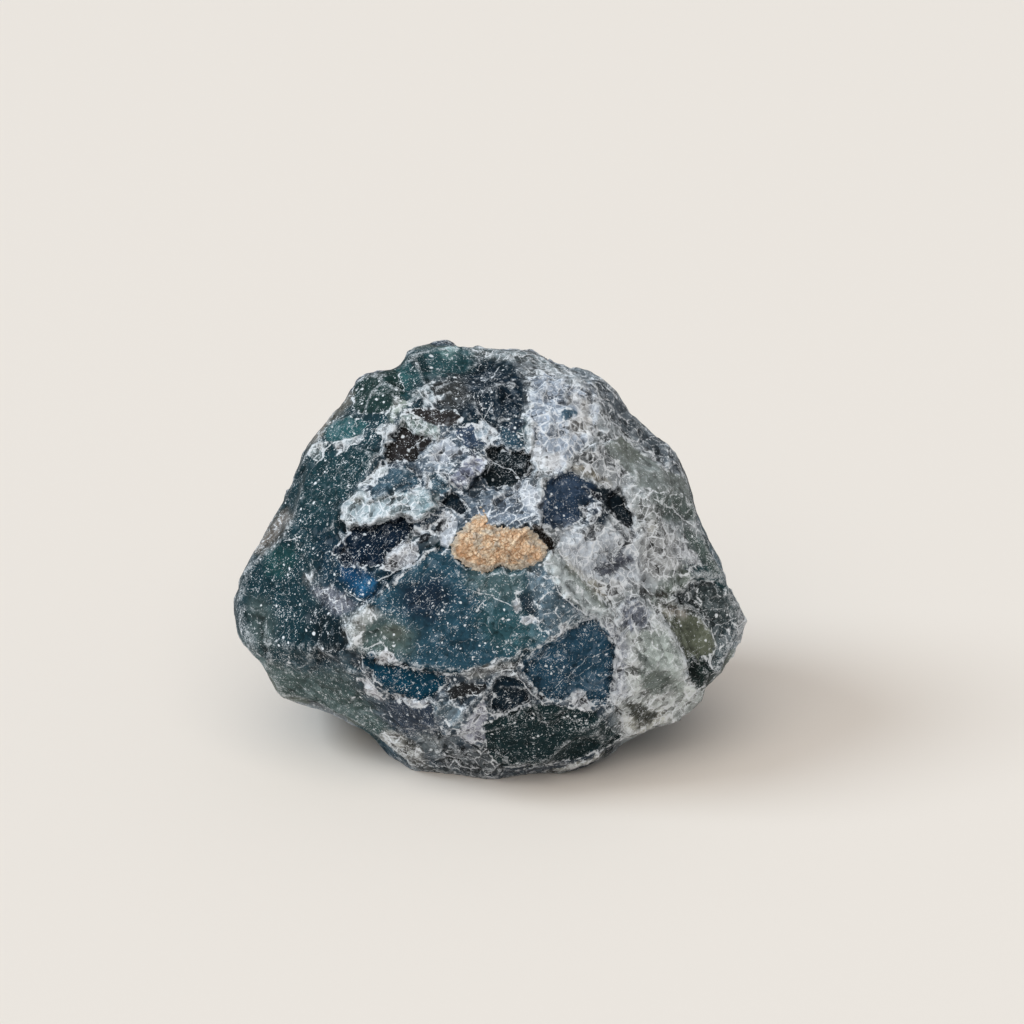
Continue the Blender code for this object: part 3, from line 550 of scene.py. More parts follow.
    ([(-26, -1.6), (-24.6, -1.8), (-24.4, -3), (-25.8, -3.2)], (130, 132, 134), 0.5, 0.5),
    ([(-25, -3.8), (-24, -4.8), (-22.5, -6.2), (-20.7, -7.8), (-18.5, -6.2), (-20, -5.2), (-22, -4)],
     (98, 98, 108), 0.4, 0.8),
    # the big blue facet and its surroundings
    ([(-9, 0.5), (-7.5, 1.8), (-5.5, 1.5), (-4.5, 0), (-2, -1.4), (1.5, -1), (4.5, -1.2), (5.3, -2.5),
      (5, -4.2), (3, -4.5), (3.5, -7), (4.5, -8.3), (6.5, -9), (8, -10.5), (7.9, -11.4), (6, -12),
      (2.5, -13.5), (-0.5, -14.2), (-3, -15.2), (-5, -15.8), (-8, -15.4), (-11, -14.8), (-13, -14),
      (-15, -11.5), (-18, -9), (-19.8, -8), (-17, -6), (-14, -3.5), (-11, -1)], (44, 76, 92), 0.13),
    ([(-19.5, -8), (-14, -8), (-10.4, -10), (-11, -13), (-15, -13.6), (-19, -12)],
     (84, 100, 98), 0.14, 1.5),
    ([(-0.8, -5.6), (3, -5.6), (6.5, -9), (7.6, -11.2), (2, -13.4), (-0.8, -11), (-2, -8)],
     (54, 88, 96), 0.14, 1.6),
    ([(-12.4, -3.6), (-7.4, -2), (-5, -5), (-8, -8.6), (-12, -7)], (28, 45, 62), 0.04, 1.6),
    ([(-3.4, -1), (4.6, -1.2), (5, -4), (2.4, -6), (-1, -5.4), (-3.6, -2.8)], (74, 96, 100), 0.14, 1.2),
    ([(-20.3, -8.5), (-18.8, -7.3), (-17.5, -6.3), (-16, -6.5), (-15, -7.8), (-17, -9), (-18.2, -12),
      (-19.5, -11.5), (-20, -10)], (138, 138, 134), 0.4, 0.7),
    ([(-15.2, -9.6), (-13.4, -8.8), (-11.8, -10), (-13.4, -11.2)], (104, 108, 100), 0.16, 1.2),
    ([(-15, -12.2), (-13.8, -12.5), (-13.3, -13.3), (-12.6, -14.2), (-15.8, -13.9)], (164, 157, 161), 0.8),
    ([(-18, -13.5), (-16.5, -12.8), (-15.5, -14), (-11, -15), (-8.5, -15.5), (-6, -16.2), (-6.5, -17.5),
      (-8, -18.8), (-10, -19.3), (-12, -19), (-14, -18.3), (-15.5, -16.8), (-16.5, -15.2)],
     (8, 58, 78), 0.05),
    ([(-20.8, -13), (-19.8, -13.4), (-17.6, -16), (-18.4, -16.8), (-20.4, -14.6)], (70, 90, 100), 0.2, 0.6),
    ([(2.8, -5.8), (3.8, -5.6), (4.2, -6.8), (3.9, -7.7), (3, -7)], (157, 157, 161), 0.8),
    ([(4.1, -7.7), (6.3, -8), (6.5, -8.8), (4.4, -8.7)], (133, 135, 141), 0.7),
    ([(4.3, -5), (6, -5.2), (6.8, -6.5), (6, -7.8), (4.8, -7.5)], (40, 52, 62), 0.1, 0.6),
    ([(6.5, -0.5), (7.5, -1), (9, -3.3), (10, -5), (13, -8), (11, -9), (9.5, -10), (8, -10), (7, -8.5),
      (5.3, -4.5), (5.3, -3)], (92, 110, 122), 0.26, 0.7),
    ([(9.2, -9), (10.2, -8.4), (10.8, -9.2), (9.8, -10)], (149, 150, 154), 0.75),
    ([(8.3, 1.2), (9.3, 0.8), (10.5, -0.8), (12.3, -2.4), (14, -3.8), (15.5, -5.5), (16.5, -7.5), (15, -8),
      (13, -7.2), (11.5, -6.2), (10, -5), (9.3, -3.5), (7.3, -0.5)], (191, 194, 194), 0.28),
    ([(10, -0.2), (11.4, -1.6), (13.6, -3.6), (15.4, -5.4), (16, -7.4), (15, -6.6), (12.6, -3.6),
      (10.2, -1.4)], (104, 108, 100), 0.15, 0.6),
    ([(9.5, 1.6), (11.4, 0.6), (13.4, -1.2), (15.4, -3.4), (17, -4.8), (16, -5.6), (14.4, -4.4),
      (12.4, -2.4), (10.4, -0.6)], (185, 175, 160), 0.5, 0.5),
    # round the crust
    ([(-3, 4.8), (-1.6, 8), (2, 9.6), (6, 9), (6.4, 5), (3, 4.5), (0, 4.6)], (96, 104, 116), 0.4, 0.7),
    ([(3.5, 10), (4.5, 10.8), (6, 10.5), (7, 8), (6.8, 6), (5.5, 7), (3.5, 9)], (150, 150, 156), 0.6, 0.7),
    ([(-8, 4.7), (-7, 6.5), (-6.3, 7), (-5.3, 6), (-4.8, 5), (-5, 3), (-5.6, 2), (-7, 2.3), (-7.7, 5)],
     (160, 160, 166), 0.6),
    ([(-10.8, 4.2), (-8.5, 5.2), (-8.3, 4.2), (-10.2, 3.4)], (150, 152, 158), 0.55),
    # the next two are painted shade: a dark slit under the end of the pale ledge, and a dark brown gap in the
    # crust's hollow at its right end
    ([(-10.4, 2.6), (-7.4, 4.6), (-6.6, 5.2), (-7, 3.8), (-9.4, 2)], (24, 28, 34), 0),
    ([(5.2, 5.2), (6.9, 5), (9, 2.2), (8.6, 1.1), (7.2, 2), (5.9, 4)], (34, 26, 22), 0),
    # the right of the wide face
    ([(9.5, 4.4), (14, 4.4), (21, 4), (22, -2), (18, -4), (13, -2.4), (9.5, 1)], (166, 167, 173), 0.52, 1),
    ([(14.3, -1.2), (15.3, -2.4), (17, -1.8), (19, -0.5), (20.5, -0.8), (19.5, 0.8), (18, 1), (16, 0)],
     (84, 85, 94), 0.24, 0.35),
    ([(15.5, -4.5), (16.5, -2.6), (17.5, -3), (18.5, -4), (16.5, -5.5)], (165, 162, 162), 0.8),
    ([(20, 3), (24, 4.6), (26.4, 2.6), (26, -1), (23, -3), (20.4, -2)], (150, 147, 146), 0.5, 1),
    ([(19.6, -3.7), (22.4, -4.4), (24.9, -4.6), (24.6, -5.4), (21.8, -5.2)], (52, 47, 44), 0.1, 0.5),
    ([(26.5, 3.1), (27.3, 1.5), (28.5, 0.3), (28.7, -0.8), (26.8, 0), (25.5, 1)], (161, 158, 161), 0.8),
    ([(21.8, 5.2), (22.6, 5.6), (23, 4.5), (22.4, 3.4), (21.2, 3.2)], (164, 159, 154), 0.8),
    ([(26, 5.5), (28, 3.9), (30.2, 1.9), (31.8, 0.4), (32.4, -1.6), (30.8, -2.2), (28.8, 0), (26.8, 3)],
     (84, 94, 90), 0.15, 0.7),
    ([(25, -5), (26, -4), (27.5, -3), (29.5, -3), (33.4, -4.2), (35.6, -8), (36, -10.4), (32.6, -15.4),
      (29, -18), (26.8, -15)], (68, 76, 77), 0.3),
    ([(23.3, -6.5), (25, -6.5), (27, -7), (28.7, -7.8), (29.8, -9), (30.8, -10.5), (31.2, -11.8),
      (30.8, -13), (29.5, -13.3), (27.5, -13.5), (26.5, -13), (26, -11.5), (25.2, -9.8), (24, -8)],
     (110, 112, 96), 0.12),
    ([(23.3, -6.3), (25, -6.3), (27.4, -6.9), (26.6, -8), (24.4, -7.8)], (160, 150, 140), 0.35, 0.6),
    ([(27, -13.8), (28.5, -13.5), (30.5, -13.5), (30.3, -14.7), (31, -15.5), (30, -17), (29, -17.7),
      (27.3, -16.8)], (25, 40, 38), 0.03),
    ([(19, -9.5), (22, -8.5), (24.5, -10), (26, -12), (26.6, -14), (27, -17), (29.2, -18.3), (29, -20.7),
      (26, -22.2), (22, -23.9), (19.5, -25), (18, -22), (17, -19), (17, -16), (17.5, -12)],
     (190, 189, 185), 0.42),
    ([(20.5, -9.8), (24, -9.5), (26.2, -12.5), (26.9, -16), (26.5, -19), (23, -17), (20.8, -14.5)],
     (164, 168, 162), 0.26, 0.5),
    ([(20.3, -15), (22, -15.2), (25, -16.2), (24.3, -17.5), (22.5, -18.8), (20.5, -17)],
     (112, 118, 112), 0.12, 0.35),
    ([(20.1, -12.3), (21.4, -13.2), (22.2, -14.6), (21.2, -14.8), (20.1, -13.4)],
     (116, 120, 116), 0.15, 0.3),
    ([(21.5, -8.2), (22.5, -9.5), (20.5, -9.7)], (162, 164, 162), 0.85),
    ([(17.8, -6), (19.5, -5), (21, -6), (22, -7.5), (21.5, -9), (19.5, -10), (18, -9.2)],
     (130, 132, 144), 0.4, 0.5),
    ([(15.8, -8.6), (17.4, -8.8), (18.9, -12), (18.6, -16), (19, -19.2), (16.9, -19.4), (16.4, -16),
      (16.9, -12.4)], (152, 152, 160), 0.7, 0.8),
    # the foot
    ([(-33, -12.5), (-30, -14), (-26, -16), (-22, -17.5), (-19, -18.5), (-17, -20), (-15.5, -22),
      (-14, -24), (-18, -23.2), (-25, -21), (-30, -18.8)], (78, 94, 92), 0.18, 1),
    ([(-18.6, -16.3), (-17, -16.5), (-16, -17.5), (-14.8, -19.5), (-15.3, -19.8), (-17.5, -17.7)],
     (161, 156, 161), 0.75),
    ([(-14.5, -20), (-12.5, -19), (-8, -20), (-7.5, -23.5), (-12, -24), (-13.5, -22.5)],
     (50, 60, 75), 0.12, 0.8),
    ([(-13.8, -18.4), (-12.6, -18.8), (-9, -19.6), (-8.8, -20.3), (-11, -20), (-13.4, -19.2)],
     (149, 148, 154), 0.7),
    ([(-8, -19.8), (-7.3, -19.3), (-5.7, -19.3), (-3.8, -21), (-4, -22.5), (-4.8, -23.5), (-6.5, -21.6),
      (-8, -21.5)], (105, 120, 130), 0.25),
    ([(-1, -18.8), (-1.3, -20), (-2.8, -21.5), (-4, -22.8), (-4.8, -24), (-3.5, -25), (-0.8, -25.3),
      (-1.5, -23), (-0.3, -21.8)], (142, 139, 150), 0.65),
    ([(-4, -17), (-2, -16.8), (-0.5, -17.5), (-1, -18.7), (-5.8, -19), (-6.2, -18)], (40, 40, 42), 0.05),
    ([(-3.7, -15.6), (0, -14.4), (3.8, -14), (3.2, -15.2), (-0.5, -15.9), (-3, -16.4)],
     (110, 108, 105), 0.4, 0.7),
    ([(-14.5, -23.5), (-12, -24.3), (-9.5, -26.5), (-8, -28.7), (-2, -30.2), (-8, -31.4), (-12.6, -29),
      (-15.8, -25)], (152, 148, 143), 0.5, 0.6),
    ([(-10.5, -24), (-6, -24.3), (-4.5, -24.8), (-6.5, -26.3), (-7.8, -27), (-9.5, -26)],
     (120, 125, 128), 0.3, 0.6),
    ([(-7, -26.5), (-5, -25.8), (-1, -25.6), (2, -27), (3, -28), (1, -29.3), (-2, -29.8), (-7.5, -28.5)],
     (62, 66, 68), 0.34, 0.8),
    ([(8, -11), (9.5, -10.5), (11, -9.5), (12.5, -8.3), (14, -8.2), (15.5, -9.2), (17.3, -11.8),
      (17, -13.5), (16.8, -15.5), (16.3, -20), (14.5, -20), (13, -19), (11.5, -18.3), (10, -19.7),
      (8, -19.3), (6.5, -18), (4, -15.5), (4.5, -13.8), (6, -12.5)], (40, 72, 92), 0.13),
    ([(11, -18.8), (11.8, -17.8), (12.8, -18.3), (14, -20), (12.2, -20.8), (11.3, -20)],
     (155, 154, 160), 0.8),
    ([(0.5, -17), (2, -16), (3.3, -15.7), (4.5, -17.2), (5.5, -18.8), (3.5, -20.5), (1, -21.5), (0, -20.5)],
     (14, 34, 46), 0.06),
    ([(-1, -22.5), (3, -21), (6, -19.8), (10, -20.2), (13, -20.7), (15.5, -21.5), (16, -23), (18, -24),
      (17, -25.3), (13, -27), (8, -28.2), (3, -28.8), (0, -27.5), (-0.8, -25)], (21, 43, 46), 0.07),
    ([(-2, -31.4), (5, -30.3), (10, -29.3), (15, -27.6), (19.5, -25.7), (19.4, -25.1), (14.9, -27),
      (10, -28.7), (5, -29.7), (-2, -30.8)], (168, 163, 153), 0.5),
    ([(18, -21.6), (24, -20.6), (25, -22.4), (19.6, -24.6)], (180, 175, 165), 0.5, 0.6),
    ([(19, -19.8), (20.3, -19.6), (21.5, -20.3), (23, -21.3), (21.8, -22.8), (20.3, -22.3), (19.3, -21)],
     (72, 72, 66), 0.15, 0.3),
]

# White veins and bruised edges on the wide face: half its width, then the points that it runs through.
VEINS = [
    (0.22, [(-22.2, 16), (-24, 13.4)]), (0.20, [(-15, 17.3), (-15, 15), (-16, 13.8)]),
    (0.16, [(-11.3, 15.2), (-9, 17.2)]), (0.16, [(-10.3, 13.7), (-7.8, 15.8), (-5.7, 16.9)]),
    (0.14, [(0, 13.7), (2.9, 12.2), (4, 11)]), (0.12, [(1.2, 26.5), (0, 25)]),
    (0.12, [(0, 21.5), (-1, 19.5)]),
    (0.25, [(-18.2, 10.2), (-14.3, 12.9)]), (0.20, [(-2.2, 15), (0.2, 13.6), (-0.4, 12.4)]),
    (0.22, [(15.6, 20.3), (17.2, 18.8), (18.5, 17.3), (19.8, 15.7)]), (0.18, [(22.5, 8.5), (25, 6.8)]),
    (0.18, [(23.3, 8.3), (27, 5.5)]), (0.18, [(-28.3, 2.8), (-26.6, 3.3)]),
    (0.25, [(-15.5, -2.8), (-13.5, -2), (-11, -0.8), (-9, 0.6), (-8, 1.5)]),
    (0.22, [(-20, -4.5), (-18.5, -5.2), (-17.2, -5.9)]), (0.28, [(-20.2, -8.5), (-20, -10.5), (-19, -12.2)]),
    (0.20, [(-18.5, -11.8), (-17, -12.3), (-15, -11.1)]), (0.18, [(-17.8, -13.2), (-17.6, -14.7)]),
    (0.16, [(-2.3, -4.3), (0, -4.9), (2.8, -6.5)]), (0.14, [(-2, -7), (-0.8, -5.5)]),
    (0.28, [(9, -3.5), (10, -5), (12, -6.8), (14.5, -8), (15.5, -9), (17.3, -11.5)]),
    (0.16, [(28.5, -7), (31.8, -6.8)]), (0.16, [(31, -9), (33.8, -8)]),
    (0.30, [(22, -8.5), (23.5, -9.5), (25, -10.5), (26, -12), (26.9, -15), (27, -17)]),
    (0.22, [(30.4, -9.6), (31.3, -11.8), (30.8, -13.2)]), (0.07, [(9, -17.5), (13.5, -13.5), (16.8, -12.2)]),
    (0.06, [(10.5, -16.8), (14, -14.5)]),
    (0.24, [(3, -15.3), (4.5, -17), (5.7, -18.5), (7, -19.7), (8.3, -19.4)]),
    (0.18, [(0.5, -15.7), (3, -15)]), (0.18, [(0, -21.6), (3, -20.6), (5.5, -19.6)]),
    (0.30, [(-14.8, -24.4), (-12, -27.4), (-8.6, -29.4), (-2, -30.6)]),
    (0.22, [(18, -19), (19.4, -17.6), (18.8, -16.2)]), (0.2, [(8.3, -10.6), (12, -8.4), (14.6, -8)]),
    (0.2, [(-19.6, 4.6), (-15.4, 5.0), (-12.9, 6.1), (-9.4, 5.4)]), (0.18, [(16.2, -19.6), (13.4, -19.4)]),
]

# What its hidden sides are patched with: colours like those of the wide face, under clouds of frost.
BACK_COLOURS = [
    (34, 56, 62), (42, 66, 80), (60, 84, 98), (28, 45, 60), (46, 72, 76), (96, 104, 108), (26, 40, 46),
    (80, 98, 106), (58, 86, 92), (132, 136, 140), (34, 50, 68), (106, 112, 104),
]
BACK_PATCH = 7.0                 # about how wide each of those is
BACK_FROST, MORE_FROST = 0.12, 0.5   # how frosted they are, and how much more in the middle of a cloud
FROST_CLOUD = 9.0

GRID_STEPS = 128                 # along each side of the six grids
FRONT_PULL = 0.42                # how far they are drawn in towards the wide face
WARP_SIZE = 1.4                  # of the noise that makes every drawn border uneven, then how strongly
BACK_BEND, PATCH_BEND, SNAPPED_BEND, VEIN_BEND, FINE_BEND = 3.0, 0.8, 0.5, 0.9, 0.5
WARP_SEEDS, PATCH_SEED, BACK_SEED, FROST_SEED = (31, 32, 33), 35, 41, 42
COARSE_SEED, FINE_SEED, GRIT_SEED = 51, 52, 53
PATCH_CELL, SNAP = 0.9, 0.55     # the small shards that a patch's edge follows, and how closely
SHARP = 0.12                     # how far a patch's edge fades where none is given
MARKS_FROM, MARKS_FULL = 0.0, 0.2   # where the patches begin on the way round to the front, and are full
LINES_FROM = 0.1                 # where the white lines begin
FAR, VEIN_HALF = 4.0, 0.2        # a distance out of reach, and half a vein's width as it is noted
COARSE, FINE, GRIT = 2.3, 0.85, 0.7   # the sizes of the shards and of the grit in the fine relief
FLOOR_CLEAR = 1.5                # how high above the floor the fine relief is full
EDGE_ROUNDS, EDGE_HEIGHT = 6, 0.12   # how widely an edge is looked for, and how high a full one stands
LAMP_TINT = (1.05, 1.14, 1.19)   # makes up for the lamps' dim and warm light
BODY_MOST = 0.9                  # no colour is lighter than this


def cube_ball(steps, pull):
    """Unit ways over a ball and the quads between them: six grids on a cube, joined at their seams.

    Each way at an angle t from straight out is drawn in to t - pull * sin t, so the front is finer."""
    line = np.tan(np.linspace(-1, 1, steps + 1) * math.pi / 4)
    a, b = np.meshgrid(line, line, indexing="ij")
    one = np.ones_like(a)
    sides = [(a, b, one), (b, a, -one), (one, a, b), (-one, b, a), (b, one, a), (a, -one, b)]
    ways = np.concatenate([np.stack(side, axis=-1).reshape(-1, 3) for side in sides])
    ways /= np.linalg.norm(ways, axis=1, keepdims=True)
    start = (np.arange(steps)[:, None] * (steps + 1) + np.arange(steps)).ravel()
    quad = np.stack((start, start + steps + 1, start + steps + 2, start + 1), axis=1)
    quads = np.concatenate([quad + side * (steps + 1) ** 2 for side in range(6)])
    _, first, joined = np.unique(np.round(ways, 6), axis=0, return_index=True, return_inverse=True)
    ways, quads = ways[first], joined.ravel()[quads]
    angle = np.arccos(np.clip(ways[:, 2], -1, 1))
    drawn = angle - pull * np.sin(angle)
    flat = np.hypot(ways[:, 0], ways[:, 1])
    sideways = ways[:, :2] / np.maximum(flat, 1e-9)[:, None] * np.sin(drawn)[:, None]
    return np.column_stack((sideways, np.cos(drawn))), quads


def linear(colour):
    """A colour from 0 to 255 as light, from 0 to 1."""
    share = np.array(colour, float) / 255
    return np.where(share > 0.04045, ((share + 0.055) / 1.055) ** 2.4, share / 12.92)


def hidden_sides(points, warp):
    """The colour and the frost of large shards all round, before the patches are laid over them."""
    lot = shards(points + BACK_BEND * warp, BACK_PATCH, 0, 0, BACK_SEED)[2]
    choice = np.minimum((lot * len(BACK_COLOURS)).astype(int), len(BACK_COLOURS) - 1)
    frost = BACK_FROST + MORE_FROST * step(clouds(points, FROST_CLOUD, FROST_SEED), 0.5, 0.72)
    return linear(BACK_COLOURS)[choice], frost


def patch_places(points, warp):
    """Where points are seen, each drawn towards the middle of its own small shard, so that the edges of
    patches follow the edges of shards."""
    centre = shards(points + PATCH_BEND * warp, PATCH_CELL, 0, 0, PATCH_SEED)[3]
    snapped = points + SNAP * (centre - points - PATCH_BEND * warp)
    return as_seen(snapped + SNAPPED_BEND * warp)


def patched(ways, points, warp):
    """Lays the patches in order. Gives the colour and the frost at each point, and its distance to the
    nearest border of a sharp patch that shows, positive inside it."""
    across, up = patch_places(points, warp)
    colours, frost = hidden_sides(points, warp)
    front = step(ways[:, 2], MARKS_FROM, MARKS_FULL)
    border = np.full(len(points), FAR)
    for outline, colour, frosted, *soft in PATCHES:
        depth = inside_depth(across, up, outline)
        width = soft[0] if soft else SHARP
        share = step(depth, -width, width) * front
        colours = colours + (linear(colour) - colours) * share[:, None]
        frost = frost + (frosted - frost) * share
        if not soft:
            border = np.where(depth > 0, FAR, border)
            border = np.where(np.abs(depth) < np.abs(border), depth, border)
    return colours, frost, np.where(ways[:, 2] > LINES_FROM, border, FAR)


def vein_distance(ways, points, warp):
    """Distance to the nearest vein at each point, its sign by the side, in veins of one width."""
    across, up = as_seen(points)
    across, up = across + VEIN_BEND * warp[:, 0], up + VEIN_BEND * warp[:, 1]
    nearest = np.full(len(points), FAR)
    for half, line in VEINS:
        for (ax, ay), (bx, by) in zip(line, line[1:]):
            ex, ey = bx - ax, by - ay
            px, py = across - ax, up - ay
            along = np.clip((px * ex + py * ey) / (ex * ex + ey * ey), 0, 1)
            away = np.hypot(px - along * ex, py - along * ey) * VEIN_HALF / half
            nearest = np.where(away < np.abs(nearest), away * np.sign(ex * py - ey * px), nearest)
    return np.where(ways[:, 2] > LINES_FROM, nearest, FAR)


def fine_relief(points, frost, warp):
    """How far the fine shards and grit stand out: more where it is frosted, and not at all on the floor."""
    coarse = shards(points, COARSE, 0.20, 0.07, COARSE_SEED)[0]
    fine = shards(points + FINE_BEND * warp, FINE, 0.28, 0.10, FINE_SEED)[0]
    grit = clouds(points, GRIT, GRIT_SEED, 2) - 0.5
    roughness = 0.3 + 0.8 * step(frost, 0.1, 0.6)
    rise = roughness * (COARSE * coarse + 0.5 * FINE * fine + 0.05 * grit)
    return rise * step(placed(points)[:, 2] / MM, 0, FLOOR_CLEAR)


def mesh_of(name, points, faces, smooth):
    """A shown mesh object from its points and its faces, shaded smoothly or flat."""
    mesh = bpy.data.meshes.new(name)
    mesh.from_pydata(points.tolist(), [], faces)
    mesh.polygons.foreach_set("use_smooth", np.full(len(faces), smooth))
    mesh.update()
    obj = bpy.data.objects.new(name, mesh)
    bpy.context.scene.collection.objects.link(obj)
    return obj


def note(obj, name, values):
    """Keeps one number, or one colour, at each point of a mesh for its material to read."""
    attributes = obj.data.attributes
    if values.ndim == 1:
        attributes.new(name, "FLOAT", "POINT").data.foreach_set("value", values.astype(np.float32))
    else:
        colours = np.column_stack((values, np.ones(len(values)))).astype(np.float32)
        attributes.new(name, "FLOAT_COLOR", "POINT").data.foreach_set("color", colours.ravel())


def bulge(points, quads, rounds):
    """How far each point stands out from its surroundings, smoothed over some rounds, along its normal."""
    ends = np.concatenate([quads[:, [i, (i + 1) % 4]] for i in range(4)])
    count = np.bincount(ends[:, 0], minlength=len(points))[:, None]
    smooth = points
    for _ in range(rounds):
        totals = [np.bincount(ends[:, 0], smooth[ends[:, 1], axis], len(points)) for axis in range(3)]
        smooth = np.stack(totals, axis=1) / count
    face = np.cross(points[quads[:, 2]] - points[quads[:, 0]], points[quads[:, 3]] - points[quads[:, 1]])
    normal = np.zeros_like(points)
    for corner in range(4):
        for axis in range(3):
            normal[:, axis] += np.bincount(quads[:, corner], face[:, axis], len(points))
    normal /= np.maximum(np.linalg.norm(normal, axis=1, keepdims=True), 1e-12)
    return ((points - smooth) * normal).sum(axis=1)


ways, quads = cube_ball(GRID_STEPS, FRONT_PULL)
points = skin(ways)
warp = np.stack([clouds(points, WARP_SIZE, seed, 3) - 0.5 for seed in WARP_SEEDS], axis=1)
colours, frost, border = patched(ways, points, warp)
vein = vein_distance(ways, points, warp)
points = points + ways * fine_relief(points, frost, warp)[:, None]

stone = mesh_of("fluorite_lump", placed(points), quads.tolist(), True)
note(stone, "body", np.minimum(colours * LAMP_TINT, BODY_MOST))
note(stone, "frost", frost)
note(stone, "border", border)
note(stone, "border_near", np.abs(border))
note(stone, "vein", vein)
note(stone, "vein_near", np.abs(vein))
note(stone, "edge", bulge(points, quads, EDGE_ROUNDS) / EDGE_HEIGHT)


class Signal:
    """A socket of a material's nodes. Sums of signals and numbers are written as plain sums."""

    def __init__(self, tree, socket):
        self.tree, self.socket = tree, socket

    def node(self, kind, settings, inputs, output=0):
        """Adds a node: its settings first, then its inputs from numbers, colours or signals."""
        added = self.tree.nodes.new(kind)
        for name, value in settings.items():
            setattr(added, name, value)
        for name, value in inputs.items():
            if isinstance(value, Signal):
                self.tree.links.new(value.socket, added.inputs[name])
            else:
                added.inputs[name].default_value = value
        return Signal(self.tree, added.outputs[output])

    def maths(self, operation, first, second):
        return self.node("ShaderNodeMath", {"operation": operation}, {0: first, 1: second})

    def __add__(self, other):
        return self.maths("ADD", self, other)

    def __sub__(self, other):
        return self.maths("SUBTRACT", self, other)

    def __rsub__(self, other):
        return self.maths("SUBTRACT", other, self)

    def __mul__(self, other):
        return self.maths("MULTIPLY", self, other)

    def __truediv__(self, other):
        return self.maths("DIVIDE", self, other)

    __radd__ = __add__
    __rmul__ = __mul__

    def most(self, other):
        return self.maths("MAXIMUM", self, other)

    def least(self, other):
        return self.maths("MINIMUM", self, other)

    def above(self, low, high):
        """0 where it is below low, 1 above high, and a smooth rise between."""
        return self.node("ShaderNodeMapRange", {"interpolation_type": "SMOOTHSTEP"},
                         {"Value": self, "From Min": low, "From Max": high})

    def below(self, low, high):
        return 1 - self.above(low, high)

    def part(self, number):
        """One of the three numbers that a colour is made of."""
        return self.node("ShaderNodeSeparateColor", {}, {"Color": self}, number)

    def moved(self, by, operation="ADD"):
        """A vector moved by another, or multiplied by it."""
        return self.node("ShaderNodeVectorMath", {"operation": operation}, {0: self, 1: by})

    def towards(self, other, share):
        """A colour mixed with another, by a share from 0 to 1."""
        return self.node("ShaderNodeMix", {"data_type": "RGBA"}, {0: share, 6: self, 7: other}, 2)

    def noise(self, size, detail=3.0, roughness=0.55, output="Fac"):
        inputs = {"Vector": self, "Scale": 1 / size, "Detail": detail, "Roughness": roughness}
        return self.node("ShaderNodeTexNoise", {}, inputs, output)

    def twin(self, output):
        """Another output of the node that this signal comes from."""
        return Signal(self.tree, self.socket.node.outputs[output])

    def cells(self, size, feature="F1", output="Distance"):
        """Cells of a size: how far to the nearest middle or border in shares of it, or its own number."""
        inputs = {"Vector": self, "Scale": 1 / size}
        return self.node("ShaderNodeTexVoronoi", {"feature": feature}, inputs, output)

    def attribute(self, name, output="Fac"):
        """What was noted at the points of the mesh under a name."""
        return self.node("ShaderNodeAttribute", {"attribute_name": name}, {}, output)

    def bump(self, height, strength, distance):
        """The normal of a surface that a height lifts by a distance in metres."""
        inputs = {"Strength": strength, "Distance": distance, "Height": height}
        return self.node("ShaderNodeBump", {}, inputs)

    def into(self, shader, name):
        """Leads this signal to an input of the shader."""
        self.tree.links.new(self.socket, shader.inputs[name])


def start_material(name):
    """A new material: its shader, and points of its object's own space in millimetres."""
    material = bpy.data.materials.new(name)
    material.use_nodes = True
    shader = material.node_tree.nodes["Principled BSDF"]
    place = Signal(material.node_tree, None).node("ShaderNodeTexCoord", {}, {}, "Object")
    return material, shader, place.moved((1 / MM, 1 / MM, 1 / MM), "MULTIPLY")


def pigment(colour):
    """A colour from 0 to 255 as a shader takes it."""
    return (*linear(colour), 1)


def bent_by(spot, drift, reach):
    """Points moved by up to half a reach each way."""
    return spot.moved(drift.moved((reach, reach, reach), "MULTIPLY"))


def facets(spot, size):
    """Flat shards of a size: how high each leans at a point, from about -1 to 1, and its own number.

    The lean is 4 * (point - middle) . (colour - 0.5) / size, with the random colour of its cell."""
    middle = spot.cells(size, "F1", "Position")
    tint = middle.twin("Color")
    apart = spot.moved(middle, "SUBTRACT")
    slope = tint.moved((0.5, 0.5, 0.5), "SUBTRACT")
    lean = spot.node("ShaderNodeVectorMath", {"operation": "DOT_PRODUCT"}, {0: apart, 1: slope}, "Value")
    return lean * (4 / size), tint.part(0)


def cracks(spot, size, half):
    """A line along the borders of shards of a size, of the half width told."""
    return (spot.cells(size, "DISTANCE_TO_EDGE") * size / half).below(0.4, 1.1)


def specks_of(spot, size, radius, share):
    """Specks: one in each cell of a size, kept in a share of the cells, each of its own radius."""
    away = spot.cells(size)
    tint = away.twin("Color")
    speck = (away * size / (tint.part(1) + 0.4)).below(radius * 0.6, radius)
    return speck * tint.part(0).below(share, share + 0.02)


def thin_line(signed, near, half):
    """A line where a signed distance passes zero, kept to where the line itself is near."""
    return (signed.most(0 - signed) / half).below(0.4, 1.1) * near.below(0.3, 0.5)


# The fluorite's material: glassy crystal of each patch's colour, with shards of three sizes painted darker or
# lighter as they lean, a painted shading of their tilt, and white where it is cracked, bruised or dusted.
BIG, MIDDLING, SMALL = 2.4, 1.1, 0.6
FROSTED_SHARD, CRACK_WHITE, DUST_WHITE = (206, 214, 226), (234, 238, 244), (234, 239, 245)
FLUORITE_IOR, FLUORITE_GLOSS = 1.434, 0.08
RELIEF_STRENGTH, RELIEF_HEIGHT = 0.6, 0.0004

material, shader, spot = start_material("fluorite")
body, frost, edge = spot.attribute("body", "Color"), spot.attribute("frost"), spot.attribute("edge")

